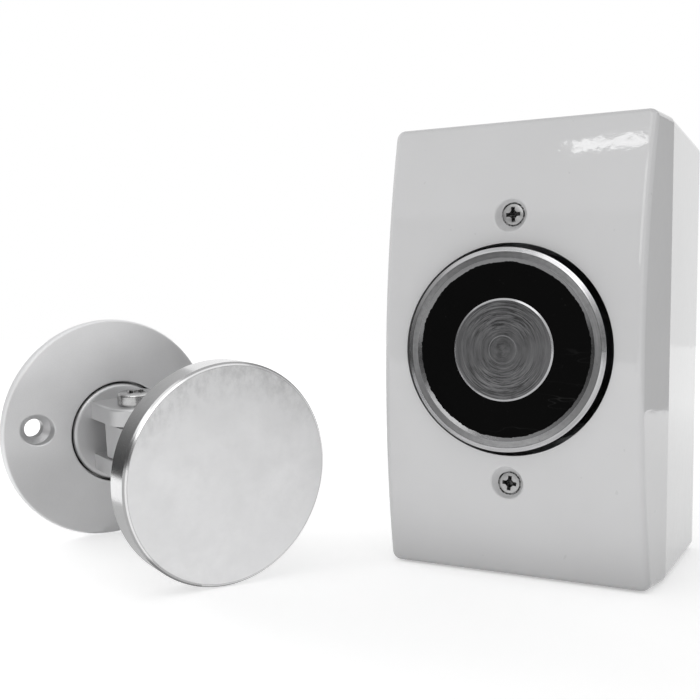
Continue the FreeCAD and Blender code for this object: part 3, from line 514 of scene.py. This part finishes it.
def cast_satin(settings):
    """Satin silver on a fine casting grain, with a duller rim painted paler, a painted highlight, and the
    swivel gap's walls painted black, a painted shade.
    """
    finish = Finish("cast_satin_silver", door_place, settings.plate_colour, 0.65, 0.42)
    cloud = finish.grain(60.0, 3.0, 0.55)
    sand = finish.grain(4200.0, 2.0, 0.6)
    tone = finish.between(finish.spread(cloud), 0.955, 1.04)
    tone = finish.toned(tone, finish.ranged(sand, 0.35, 0.65, 0.0, 0.16), 0.72)
    # Painted highlight: the rim is painted paler; its extra roughness is real
    rim = finish.ranged(finish.radius(), *PLATE_RIM)
    tone = finish.toned(tone, rim, 1.5)
    # Painted shade: the walls of the swivel gap are painted black
    gap = finish.near(finish.radius(), SWIVEL_GAP, 0.5 * MM)
    wall = finish.ranged(finish.number("ABSOLUTE", finish.outward()), 0.1, 0.3, 1.0, 0.0)
    finish.paint(finish.mixed(finish.product(gap, wall), tone, GAP_SHADE))
    finish.rough(finish.number("ADD", finish.spread(cloud, 0.37, 0.46), finish.product(rim, 0.3)))
    finish.bump(sand, 7 * MICRON, 0.5)
    finish.bump(finish.grain(700.0), 6 * MICRON, 0.4)
    return finish.material


def ground_disc(settings):
    """Ground and plated steel.

    The face is mottled, with a rubbed smear along its top. The rim is bright and turned; the outer half of
    its chamfer is painted darker, a painted shade, and a thin painted shade line runs inside the chamfer.
    """
    finish = Finish("ground_armature_steel", door_place, settings.disc_colour, 1.0, 0.3)
    _, up, out = finish.parts()
    face = finish.ranged(finish.outward(), 0.85, 0.98)
    mottle = finish.grain(170.0, 5.0, 0.62)
    cloud = finish.grain(46.0)
    brush = finish.grain(300.0, 3.0, 0.6, stretch=(1.0, 0.16, 1.0))
    blotch = finish.grain(430.0, 5.0, 0.7, stretch=(1.0, 0.7, 1.0))
    tone = finish.between(finish.ranged(mottle, 0.35, 0.68), 1.03, 0.945)
    tone = finish.toned(tone, finish.ranged(cloud, 0.42, 0.68, 0.0, 0.55), 0.93)
    band = finish.product(finish.ranged(finish.radius(), *DISC_BAND), face)
    top = finish.product(finish.ranged(up, *DISC_SMEAR_RISE), band)
    rubbed = finish.number("ADD", finish.ranged(blotch, 0.42, 0.66, 0.0, 0.85),
                           finish.ranged(brush, 0.4, 0.7, 0.0, 0.12))
    smear = finish.product(finish.product(rubbed, top), settings.disc_smear)
    tone = finish.toned(tone, smear, 0.5)
    # Painted shade: the outer half of the chamfer is painted darker
    sloped = finish.number("SUBTRACT", finish.ranged(finish.outward(), 0.4, 0.6), face, clamp=True)
    outer = finish.ranged(finish.radius(), *DISC_CHAMFER_SHADE, 0.0, 0.85)
    tone = finish.toned(tone, finish.product(sloped, outer), 0.4)
    # Painted shade: a thin darker line just inside the chamfer
    shade_line = finish.near(finish.radius(), DISC_SHADE_LINE, 0.1 * MM)
    finish.paint(finish.toned(tone, finish.product(shade_line, 0.4), 0.4))
    finish.rough(finish.ranged(face, 0.0, 1.0, 0.19, 0.36))
    turned = finish.joined(0.0, 0.0, finish.product(out, 2600.0))
    finish.bump(finish.grain(1.0, 2.0, 0.6, spot=turned), 1 * MICRON, 0.4)
    finish.bump(mottle, 8 * MICRON, 0.35)
    finish.bump(finish.grain(2600.0, 2.0, 0.6, stretch=(1.0, 0.3, 1.0)), 3.5 * MICRON, 0.5)
    return finish.material


def screw_steel(name, place, colour, roughness):
    """Plated screw steel with tumbling marks."""
    finish = Finish(name, place, colour, 1.0, roughness)
    nick = finish.grain(2400.0, 3.0, 0.6)
    blotch = finish.grain(700.0)
    tone = finish.between(finish.spread(blotch), 0.9, 1.1)
    finish.paint(finish.toned(tone, finish.ranged(nick, 0.64, 0.76, 0.0, 0.35), 0.6))
    finish.rough(finish.spread(blotch, roughness * 0.85, roughness * 1.2))
    finish.bump(nick, 2 * MICRON, 0.4)
    return finish.material


def recess_shade_and_glints():
    """Painted shade in a screw's cross and round its head, with paler blotches as painted glints."""
    finish = Finish("painted_recess_shade", wall_place, RECESS_SHADE, 0.85, 0.3)
    blotch = finish.grain(1900.0)
    # Painted shade, with paler blotches as painted glints
    finish.paint(finish.between(finish.ranged(blotch, 0.42, 0.66), 0.5, 8.0))
    finish.rough(finish.spread(blotch, 0.32, 0.5))
    finish.bump(blotch, 10 * MICRON, 0.5)
    return finish.material


def strap_zinc():
    """Dull zinc plate with a crystal bloom, on the strap and its small hardware."""
    finish = Finish("dull_strap_zinc", wall_place, STRAP_ZINC, 1.0, 0.42)
    bloom = finish.node("ShaderNodeTexVoronoi", {"Vector": finish.spot, "Scale": 420.0})
    cell = finish.vector("DOT_PRODUCT", bloom.outputs["Color"], (0.33, 0.33, 0.34))
    finish.paint(finish.between(cell, 0.8, 1.12))
    finish.rough(finish.ranged(cell, 0.0, 1.0, 0.36, 0.5))
    finish.bump(finish.grain(1600.0, 3.0), 8 * MICRON, 0.5)
    return finish.material


def moulded_plastic(name, colour, roughness):
    """Moulded plastic with a fine spark-eroded grain."""
    finish = Finish(name, wall_place, colour, 0.0, roughness)
    grain = finish.grain(2200.0, 3.0, 0.6)
    finish.paint(finish.between(finish.spread(finish.grain(90.0)), 0.88, 1.1))
    finish.rough(finish.spread(grain, roughness - 0.06, roughness + 0.08))
    finish.bump(grain, 12 * MICRON, 0.6)
    return finish.material


def wound_copper():
    """Layers of enamelled copper wire, lying side by side round the spool."""
    finish = Finish("wound_enamelled_copper", wall_place, COPPER, 0.85, 0.3)
    wave = finish.node("ShaderNodeTexWave", {"Vector": finish.spot, "Scale": 620.0, "Distortion": 0.35},
                       wave_type="BANDS", bands_direction="Z", wave_profile="SIN")
    lay = finish.grain(1.0, spot=finish.round_about(300.0, 1.4))
    # Painted shade: the wire is darker in the valleys between the turns
    finish.paint(finish.between(finish.product(wave.outputs["Fac"], lay), 0.55, 1.3))
    finish.rough(finish.spread(lay, 0.24, 0.36))
    finish.bump(wave.outputs["Fac"], 80 * MICRON, 0.8)
    return finish.material


def terminal_brass():
    """Turned brass of the clamp screws."""
    finish = Finish("terminal_brass", wall_place, BRASS, 1.0, 0.3)
    turned = finish.grain(900.0, 3.0, 0.6)
    finish.paint(finish.between(finish.spread(turned), 0.78, 1.1))
    finish.rough(finish.spread(turned, 0.24, 0.4))
    finish.bump(turned, 10 * MICRON, 0.5)
    return finish.material


# Meshes

def settle(obj, body, slot, *nodes):
    """Gives a made piece its body and hides the CAD nodes that it stands for; its slot is not used."""
    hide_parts(*nodes)
    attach(obj, body)


def shown_piece(name, mesh, *finishes):
    """A new object of that mesh in the scene, with these finishes."""
    obj = bpy.data.objects.new(name, mesh)
    bpy.context.scene.collection.objects.link(obj)
    kept = [polygon.material_index for polygon in mesh.polygons]
    mesh.materials.clear()
    for finish in finishes:
        mesh.materials.append(finish)
    mesh.polygons.foreach_set("material_index", kept)
    return obj


def smooth(mesh, angle=32.0):
    """Smooth shading up to a sharp angle."""
    mesh.polygons.foreach_set("use_smooth", [True] * len(mesh.polygons))
    mesh.set_sharp_from_angle(angle=math.radians(angle))


def turned_form(outline, place, steps, ruffle=None, dark=()):
    """A mesh turned from (radius, height) points about a place's Z axis.

    Ruffle may move each point, and the bands that start at the dark rows take the second finish.
    """
    form = bmesh.new()
    rings = []
    for row, (radius, height) in enumerate(outline):
        count = 1 if radius < 1e-7 else steps
        ring = []
        for step in range(count):
            angle = math.tau * step / steps
            where = (radius, height) if ruffle is None else ruffle(row, angle, radius, height)
            spot = Vector((where[0] * math.cos(angle), where[0] * math.sin(angle), where[1]))
            ring.append(form.verts.new(place @ spot))
        rings.append(ring)
    for row, (low, high) in enumerate(zip(rings, rings[1:])):
        for step in range(steps):
            corners = [low[step % len(low)], low[(step + 1) % len(low)],
                       high[(step + 1) % len(high)], high[step % len(high)]]
            distinct = list(dict.fromkeys(corners))
            if len(distinct) > 2:
                form.faces.new(distinct).material_index = int(row in dark)
    bmesh.ops.recalc_face_normals(form, faces=form.faces)
    return form


def mesh_of(name, form):
    """A mesh from a form, which is freed."""
    mesh = bpy.data.meshes.new(name)
    form.to_mesh(mesh)
    form.free()
    return mesh


def cross_cutter(place, top, span, width, core, depth, turn):
    """The tapered cross of a screwdriver recess, with a cone where its wings meet."""
    form = bmesh.new()
    levels = ((0.4 * MM, 1.06), (0.0, 1.0), (-depth * 0.55, 0.74), (-depth * 0.85, 0.44))
    rings = []
    for rise, share in levels:
        half = width / 2 * (0.55 + 0.45 * share)
        reach = max(span / 2 * share, half * 1.2)
        inner = max(core * share, half * 1.05)
        ring = []
        for quarter in range(4):
            spin = Matrix.Rotation(turn + quarter * math.pi / 2, 3, "Z")
            for along, side in ((inner, -half), (reach, -half), (reach, half), (inner, half)):
                spot = spin @ Vector((along, side, top + rise))
                ring.append(form.verts.new(place @ spot))
        rings.append(ring)
    tip = form.verts.new(place @ Vector((0, 0, top - depth)))
    count = len(rings[0])
    for low, high in zip(rings, rings[1:]):
        for step in range(count):
            form.faces.new((low[step], low[(step + 1) % count], high[(step + 1) % count], high[step]))
    for step in range(count):
        form.faces.new((rings[-1][step], rings[-1][(step + 1) % count], tip))
    form.faces.new(rings[0])
    for face in form.faces:
        face.material_index = 1
    bmesh.ops.recalc_face_normals(form, faces=form.faces)
    return form


def cut_away(mesh, cutter, finishes):
    """The mesh with the cutter's form taken away, which leaves the second finish in the recess."""
    for part in (mesh, cutter):
        for finish in finishes:
            part.materials.append(finish)
    body = bpy.data.objects.new("recess_body", mesh)
    tool = bpy.data.objects.new("recess_tool", cutter)
    for obj in (body, tool):
        bpy.context.scene.collection.objects.link(obj)
    recess = body.modifiers.new("recess", "BOOLEAN")
    recess.operation = "DIFFERENCE"
    recess.solver = "EXACT"
    recess.object = tool
    bpy.context.view_layer.update()
    result = bpy.data.meshes.new_from_object(body.evaluated_get(bpy.context.evaluated_depsgraph_get()))
    for obj in (body, tool):
        bpy.data.objects.remove(obj)
    return result


def cover_screw_mesh(place, radius, shank, top, tip, pitch, turn, gap, finishes):
    """A countersunk screw with a softened rim, a rolled thread and a cross recess."""
    root = shank * 0.86
    neck = top - (radius - shank)
    seat = neck - pitch
    outline = [(0.0, tip), (shank * 0.7, tip)]
    height = tip + pitch
    while height < seat:
        outline += [(root, height), (shank, height + pitch / 2)]
        height += pitch
    outline += [(root, seat), (root, neck), (radius, top - 0.06 * MM)]
    # Painted shade: the head's rim rows take the recess finish as a dark seam
    shaded_seam_rows = (len(outline) - 1, len(outline))
    face = radius - gap
    outline += [(radius - gap / 2, top - 0.22 * MM), (face, top - 0.10 * MM),
                (face - 0.04 * MM, top - 0.04 * MM), (face - 0.12 * MM, top - 0.01 * MM),
                (face * 0.5, top - 0.004 * MM), (0.0, top)]
    body = mesh_of("cover_screw", turned_form(outline, place, 72, dark=shaded_seam_rows))
    cutter = mesh_of("cover_screw_cross", cross_cutter(
        place, top, radius * 1.2, radius * 0.31, radius * 0.32, radius * 0.8, turn))
    return cut_away(body, cutter, finishes)


def pivot_screw_mesh(radius, shank, low, seat, top, finishes):
    """The pivot: a flat head with a crowned edge and a deep cross, on a plain shank."""
    edge = 0.8 * MM
    edge_steps = 9
    tip_bevel = 0.3 * MM
    head_bevel = 0.15 * MM
    outline = [(0.0, low), (shank - tip_bevel, low), (shank, low + tip_bevel), (shank, seat),
               (radius - head_bevel, seat), (radius, seat + head_bevel), (radius, top - edge)]
    for step in range(1, edge_steps):
        angle = math.pi / 2 * step / edge_steps
        outline.append((radius - edge * (1 - math.cos(angle)), top - edge * (1 - math.sin(angle))))
    outline += [(radius - edge, top), (radius * 0.5, top), (0.0, top)]
    body = mesh_of("pivot_screw", turned_form(outline, pivot_place, 96))
    cutter = mesh_of("pivot_screw_cross", cross_cutter(
        pivot_place, top, radius * 1.15, radius * 0.32, radius * 0.36, 2.0 * MM, PIVOT_CROSS_TURN))
    return cut_away(body, cutter, finishes)


def core_mesh(settings, bore, radius, low, high):
    """The core with a centre nub, shallow lathe rings and a bevelled edge."""
    bevel = 0.45 * MM
    bevel_height = 0.25 * MM
    rows = 150
    nub_share = 0.035
    deep_share, deep_width = 0.27, 0.012
    outline = [(bore, low), (radius, low), (radius, high - bevel_height), (radius - bevel, high)]
    for step in range(1, rows):
        at = (radius - bevel) * (1 - step / rows)
        share = at / radius
        ridge = noise.noise(Vector((share * 46.0, 0.0, 3.7)))
        ridge += 0.5 * noise.noise(Vector((share * 110.0, 0.0, 9.1)))
        depth = settings.groove_depth * (1.2 + ridge)
        if abs(share - deep_share) < deep_width:
            depth += settings.groove_depth * 1.6
        if share < nub_share:
            depth = 0.0
        outline.append((at, high - max(0.0, depth)))
    outline.append((0.0, high))
    return mesh_of("core", turned_form(outline, wall_place, 128))


def potting_mesh(settings, bore, rim, low, high):
    """The resin ring, which has crept raggedly up the inner bevel of the zinc ring."""
    ragged_row = 3
    outline = [(bore, low), (rim, low), (rim, high - 0.05 * MM), (rim, high),
               (rim - 0.25 * MM, high + 0.004 * MM), (rim - 0.5 * MM, high - 0.012 * MM),
               ((rim + bore) / 2, high - 0.03 * MM), (bore + 0.3 * MM, high - 0.015 * MM),
               (bore, high), (bore, low)]

    def ruffle(row, angle, radius, height):
        """Moves the ragged row's points outward and up the bevel."""
        if row != ragged_row:
            return radius, height
        ring = Vector((math.cos(angle), math.sin(angle), 0.0))
        rag = noise.noise(ring * 5.0) + 0.6 * noise.noise(ring * 26.0) + 0.35 * noise.noise(ring * 80.0)
        creep = settings.resin_creep * max(0.04, min(1.0, 0.18 + 0.6 * rag))
        return radius + 0.05 * MM + creep, height + creep * 0.4 + 0.02 * MM

    return mesh_of("potting", turned_form(outline, wall_place, 900, ruffle))


def coat(finish, *nodes):
    """Gives CAD nodes a finish."""
    for node in nodes:
        mesh = frame["nodes"][node].data
        mesh.materials.clear()
        mesh.materials.append(finish)


# Operators

class HOLDER_OT_enamel(bpy.types.Operator):
    """Paint the back box and the arched cover"""

    bl_idname = "holder.enamel"
    bl_label = "Enamel the box and cover"

    def execute(self, context):
        coat(gloss_enamel(context.scene.holder_enamel), "back_box", "front_cover")
        return {"FINISHED"}


class HOLDER_OT_magnet(bpy.types.Operator):
    """Plate the ring, turn the core and pour the potting"""

    bl_idname = "holder.magnet"
    bl_label = "Finish the magnet"

    def execute(self, context):
        settings = context.scene.holder_magnet
        coat(zinc_ring(settings), "magnet_cup")
        _, radius, low, high = turned_size("center_pole", wall_place)
        mesh = core_mesh(settings, CORE_BORE, radius, low, high)
        smooth(mesh, 18.0)
        core = shown_piece("turned_core", mesh, turned_core(settings))
        settle(core, "holder", "pole_steel", "center_pole")
        bore, rim, low, high = turned_size("potting_ring", wall_place)
        mesh = potting_mesh(settings, bore, rim, low, high)
        smooth(mesh, 40.0)
        potting = shown_piece("potting_pour", mesh, potting_resin(settings))
        settle(potting, "holder", "potting", "potting_ring")
        return {"FINISHED"}


class HOLDER_OT_cover_screws(bpy.types.Operator):
    """Make the two countersunk cover screws"""

    bl_idname = "holder.cover_screws"
    bl_label = "Make the cover screws"

    def execute(self, context):
        settings = context.scene.holder_screws
        finishes = (screw_steel("plated_cover_screw", wall_place, settings.colour, 0.4), recess_shade_and_glints())
        points = local_points("cover_screws", wall_place)
        radius = max(point.x for point in points)
        top = max(point.z for point in points)
        tip = min(point.z for point in points)
        offset = max(point.y for point in points) - radius
        pair = bmesh.new()
        for side, turn in SCREW_TURNS:
            place = wall_place @ Matrix.Translation((0, offset * side, 0))
            screw = cover_screw_mesh(place, radius, radius / 2, top, tip, settings.thread_pitch, turn,
                                     settings.head_gap, finishes)
            pair.from_mesh(screw)
            bpy.data.meshes.remove(screw)
        mesh = mesh_of("cover_screw_pair", pair)
        smooth(mesh)
        screws = shown_piece("countersunk_screws", mesh, *finishes)
        settle(screws, "holder", "plated_steel", "cover_screws")
        return {"FINISHED"}


class HOLDER_OT_hardware(bpy.types.Operator):
    """Finish the strap, its bolt and screws, the spool, the coil and the terminals"""

    bl_idname = "holder.hardware"
    bl_label = "Finish the inside hardware"

    def execute(self, context):
        coat(strap_zinc(), "mounting_strap", "strap_screws", "magnet_bolt", "bolt_washer", "block_screws",
             "retaining_ring")
        coat(moulded_plastic("black_spool_nylon", SPOOL_BLACK, 0.45), "coil_bobbin", "friction_washer")
        coat(moulded_plastic("dark_terminal_resin", TERMINAL_DARK, 0.38), "terminal_block")
        coat(moulded_plastic("red_lead_sleeve", LEAD_RED, 0.4), "coil_leads")
        coat(wound_copper(), "coil_winding")
        coat(terminal_brass(), "terminal_screws")
        return {"FINISHED"}


class HOLDER_OT_door_plate(bpy.types.Operator):
    """Finish the domed plate, the swivel and the stem"""

    bl_idname = "holder.door_plate"
    bl_label = "Finish the plate and swivel"

    def execute(self, context):
        finish = cast_satin(context.scene.holder_door_half)
        coat(finish, "door_plate", "swivel_base", "armature_stem")
        return {"FINISHED"}


class HOLDER_OT_armature(bpy.types.Operator):
    """Finish the ground steel disc"""

    bl_idname = "holder.armature"
    bl_label = "Finish the armature disc"

    def execute(self, context):
        coat(ground_disc(context.scene.holder_door_half), "armature_disc")
        return {"FINISHED"}


class HOLDER_OT_pivot_screw(bpy.types.Operator):
    """Make the pivot screw"""

    bl_idname = "holder.pivot_screw"
    bl_label = "Make the pivot screw"

    def execute(self, context):
        _, radius, low, top = turned_size("pivot_screw", pivot_place)
        # Painted shade: a darker copy of the screw steel
        colour = [part * PIVOT_SHADE for part in context.scene.holder_screws.colour]
        finishes = (screw_steel("plated_pivot_steel", pivot_place, colour, 0.22), recess_shade_and_glints())
        mesh = pivot_screw_mesh(radius, PIVOT_SHANK, low, -low, top, finishes)
        smooth(mesh)
        settle(shown_piece("pivot_pin", mesh, *finishes), "swivel", "plated_steel", "pivot_screw")
        return {"FINISHED"}


class HOLDER_OT_stage(bpy.types.Operator):
    """Set the floor, the studio light and the camera"""

    bl_idname = "holder.stage"
    bl_label = "Set the stage"

    def execute(self, context):
        settings = context.scene.holder_stage
        context.scene.view_settings.view_transform = "Standard"
        lay_floor(settings)
        light_room(settings)
        hang_lamps(settings)
        stand_flags()
        set_camera(settings)
        return {"FINISHED"}


# Stage

def floor_height():
    """The height of the floor, under the lowest point of both halves."""
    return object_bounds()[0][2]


def linked(tree, kind, *feeds, **settings):
    """A new node with these settings, whose first sockets are fed by other sockets."""
    made = tree.nodes.new(kind)
    for name, value in settings.items():
        setattr(made, name, value)
    for socket, source in zip(made.inputs, feeds):
        tree.links.new(source, socket)
    return made


def stage_material(name):
    """A new material without its first shader, and its tree."""
    material = bpy.data.materials.new(name)
    material.use_nodes = True
    tree = material.node_tree
    tree.nodes.remove(tree.nodes["Principled BSDF"])
    return material, tree


def seen_share(tree):
    """1 where the camera, a reflection or a see-through ray looks, and 0 for light on other things."""
    path = tree.nodes.new("ShaderNodeLightPath")
    share = path.outputs["Is Camera Ray"]
    for name in ("Is Glossy Ray", "Is Transmission Ray"):
        share = linked(tree, "ShaderNodeMath", share, path.outputs[name], operation="MAXIMUM").outputs[0]
    return share


def floor_finish(settings):
    """A matte floor that is lifted to white where it is seen, more so further away."""
    material, tree = stage_material("pale_studio_floor")
    matte = linked(tree, "ShaderNodeBsdfDiffuse")
    matte.inputs["Color"].default_value = (*settings.floor_colour, 1.0)
    spot = linked(tree, "ShaderNodeTexCoord")
    away = linked(tree, "ShaderNodeVectorMath", spot.outputs["Object"], operation="LENGTH")
    fade = linked(tree, "ShaderNodeMapRange", away.outputs["Value"])
    for name, value in FLOOR_LIFT:
        fade.inputs[name].default_value = value
    strength = linked(tree, "ShaderNodeMath", seen_share(tree), fade.outputs["Result"], operation="MULTIPLY")
    lift = linked(tree, "ShaderNodeEmission")
    tree.links.new(strength.outputs[0], lift.inputs["Strength"])
    both = linked(tree, "ShaderNodeAddShader", matte.outputs[0], lift.outputs[0])
    tree.links.new(both.outputs[0], tree.nodes["Material Output"].inputs["Surface"])
    return material


def lay_floor(settings):
    """A wide pale floor under both halves, which keeps their shadows."""
    lowest = floor_height()
    form = bmesh.new()
    middle = form.verts.new((0, 0, lowest))
    angles = [math.tau * step / FLOOR_STEPS for step in range(FLOOR_STEPS)]
    rings = [[form.verts.new((radius * math.cos(angle), radius * math.sin(angle), lowest)) for angle in angles]
             for radius in FLOOR_RINGS]
    for step in range(FLOOR_STEPS):
        after = (step + 1) % FLOOR_STEPS
        form.faces.new((middle, rings[0][step], rings[0][after]))
        for inner, outer in zip(rings, rings[1:]):
            form.faces.new((inner[step], outer[step], outer[after], inner[after]))
    floor = shown_piece("studio_floor", mesh_of("studio_floor", form), floor_finish(settings))
    floor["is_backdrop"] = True


def light_room(settings):
    """A white room to look at, and a softer one to be lit by."""
    world = bpy.data.worlds.new("white_room")
    bpy.context.scene.world = world
    world.use_nodes = True
    tree = world.node_tree
    soft = tree.nodes["Background"]
    white = linked(tree, "ShaderNodeBackground")
    for room, strength in ((soft, settings.fill), (white, 1.0)):
        room.inputs["Color"].default_value = WHITE
        room.inputs["Strength"].default_value = strength
    both = linked(tree, "ShaderNodeMixShader", seen_share(tree), soft.outputs[0], white.outputs[0])
    tree.links.new(both.outputs[0], tree.nodes["World Output"].inputs["Surface"])


def hang_lamp(name, spot, aim, width, height, power, mirrored):
    """A rectangular lamp at a spot, turned to an aim, that is either mirrored or gives soft light."""
    lamp = bpy.data.lights.new(name, "AREA")
    lamp.shape = "RECTANGLE"
    lamp.size = width
    lamp.size_y = height
    lamp.energy = power
    obj = bpy.data.objects.new(name, lamp)
    obj.location = spot
    obj.rotation_euler = (Vector(aim) - Vector(spot)).to_track_quat("-Z", "Y").to_euler()
    obj.visible_glossy = mirrored
    obj.visible_diffuse = not mirrored
    bpy.context.scene.collection.objects.link(obj)
    return obj


def hang_lamps(settings):
    """Soft lamps above, in front, at the left and on the table, and four that only show in reflections."""
    hang_lamp("overhead_lamp", (0.0, -0.33, 0.6), (0.0, -0.33, 0.0), 0.5, 0.3, settings.overhead, False)
    hang_lamp("front_lamp", (-0.35, -1.1, 0.03), (-0.03, -0.05, 0.0), 0.9, 0.16, settings.key, False)
    near_floor = floor_height() + 1 * MM
    for name, across, back, width, depth, share in (("table_lamp", 0.0, -0.45, 1.4, 0.76, 0.8),
                                                    ("side_table_lamp", 0.36, 0.15, 0.6, 0.44, 0.2)):
        table = hang_lamp(name, (across, back, near_floor), (across, back, 1.0), width, depth,
                          settings.table * share, False)
        table.visible_camera = False
        table.visible_transmission = False
    hang_lamp("left_lamp", (-0.6, -0.03, 0.15), (-0.035, -0.03, 0.0), 0.3, 0.2, 0.8, False)
    hang_lamp("sky_lamp", (0.375, -0.118, 0.495), (-0.118, -0.075, 0.0), 0.5, 0.4, 0.3, True)
    hang_lamp("window_lamp", (0.098, -0.681, 0.318), (0.0, -0.065, 0.0), 0.33, 0.27, settings.window, True)
    glint = hang_lamp("glint_lamp", (-0.139, -0.629, 0.505), (0.025, -0.0575, 0.048), 0.075, 0.03, 0.05, True)
    glint.rotation_euler.rotate_axis("Z", GLINT_TURN)
    hang_lamp("corner_lamp", (0.125, -0.53, 0.62), (0.032, -0.057, 0.051), 0.34, 0.34, 0.4, True)


def flag_finish(name, dim, bright):
    """Cloth that glows from one strength at its foot to another at its top."""
    material, tree = stage_material(name + "_cloth")
    spot = linked(tree, "ShaderNodeTexCoord")
    parts = linked(tree, "ShaderNodeSeparateXYZ", spot.outputs["Generated"])
    fade = linked(tree, "ShaderNodeMapRange", parts.outputs["Z"], interpolation_type="SMOOTHSTEP")
    fade.inputs["To Min"].default_value = dim
    fade.inputs["To Max"].default_value = bright
    cloth = linked(tree, "ShaderNodeEmission")
    tree.links.new(fade.outputs["Result"], cloth.inputs["Strength"])
    tree.links.new(cloth.outputs[0], tree.nodes["Material Output"].inputs["Surface"])
    return material


def stand_flags():
    """Grey flags outside the picture, and a grey card on the table, that only show in reflections."""
    lowest = floor_height()
    for name, start, end, foot, rise, dim, bright in FLAGS:
        form = bmesh.new()
        low = Vector((*start, lowest + foot))
        along = Vector((*end, lowest + foot)) - low
        rows = [[form.verts.new(low + along * (step / FLAG_STEPS) + Vector(rise) * (level / FLAG_LEVELS))
                 for step in range(FLAG_STEPS + 1)] for level in range(FLAG_LEVELS + 1)]
        for near, far in zip(rows, rows[1:]):
            for step in range(FLAG_STEPS):
                form.faces.new((near[step], near[step + 1], far[step + 1], far[step]))
        flag = shown_piece(name, mesh_of(name, form), flag_finish(name, dim, bright))
        for ray in ("camera", "diffuse", "shadow", "transmission"):
            setattr(flag, "visible_" + ray, False)
        flag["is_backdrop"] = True


def set_camera(settings):
    """The camera at the photograph's place and angle."""
    camera = bpy.data.cameras.new("photo_camera")
    camera.sensor_width = SENSOR
    camera.lens = settings.lens
    camera.shift_x, camera.shift_y = LENS_SHIFT
    camera.clip_start = 0.01
    obj = bpy.data.objects.new("photo_camera", camera)
    yaw, pitch, roll = settings.camera_turn
    turn = (Matrix.Rotation(yaw, 4, "Z") @ Matrix.Rotation(math.pi / 2 + pitch, 4, "X")
            @ Matrix.Rotation(roll, 4, "Z"))
    obj.matrix_world = Matrix.Translation(settings.camera_spot) @ turn
    bpy.context.scene.collection.objects.link(obj)
    bpy.context.scene.camera = obj


# Panel and registration

OPERATORS = (
    HOLDER_OT_enamel,
    HOLDER_OT_magnet,
    HOLDER_OT_cover_screws,
    HOLDER_OT_hardware,
    HOLDER_OT_door_plate,
    HOLDER_OT_armature,
    HOLDER_OT_pivot_screw,
    HOLDER_OT_stage,
)


class HOLDER_PT_finishes(bpy.types.Panel):
    """Lists the pieces, the stage and their settings"""

    bl_idname = "HOLDER_PT_finishes"
    bl_label = "Door holder"
    bl_space_type = "VIEW_3D"
    bl_region_type = "UI"
    bl_category = "Door holder"

    def draw(self, context):
        for operator in OPERATORS:
            self.layout.operator(operator.bl_idname)
        for name, group in SETTINGS.items():
            box = self.layout.box()
            box.label(text=group.__doc__)
            for setting in group.__annotations__:
                box.prop(getattr(context.scene, name), setting)


def register():
    """Registers the settings, the operators and the panel."""
    for name, group in SETTINGS.items():
        bpy.utils.register_class(group)
        setattr(bpy.types.Scene, name, bpy.props.PointerProperty(type=group))
    for operator in OPERATORS:
        bpy.utils.register_class(operator)
    bpy.utils.register_class(HOLDER_PT_finishes)


def unregister():
    """Takes the panel, the operators and the settings out again."""
    bpy.utils.unregister_class(HOLDER_PT_finishes)
    for operator in reversed(OPERATORS):
        bpy.utils.unregister_class(operator)
    for name, group in reversed(SETTINGS.items()):
        delattr(bpy.types.Scene, name)
        bpy.utils.unregister_class(group)


def main():
    """Dresses both halves and sets the stage."""
    register()
    bpy.ops.holder.enamel()
    bpy.ops.holder.magnet()
    bpy.ops.holder.cover_screws()
    bpy.ops.holder.hardware()
    bpy.ops.holder.door_plate()
    bpy.ops.holder.armature()
    bpy.ops.holder.pivot_screw()
    bpy.ops.holder.stage()


if __name__ == "__main__":
    main()
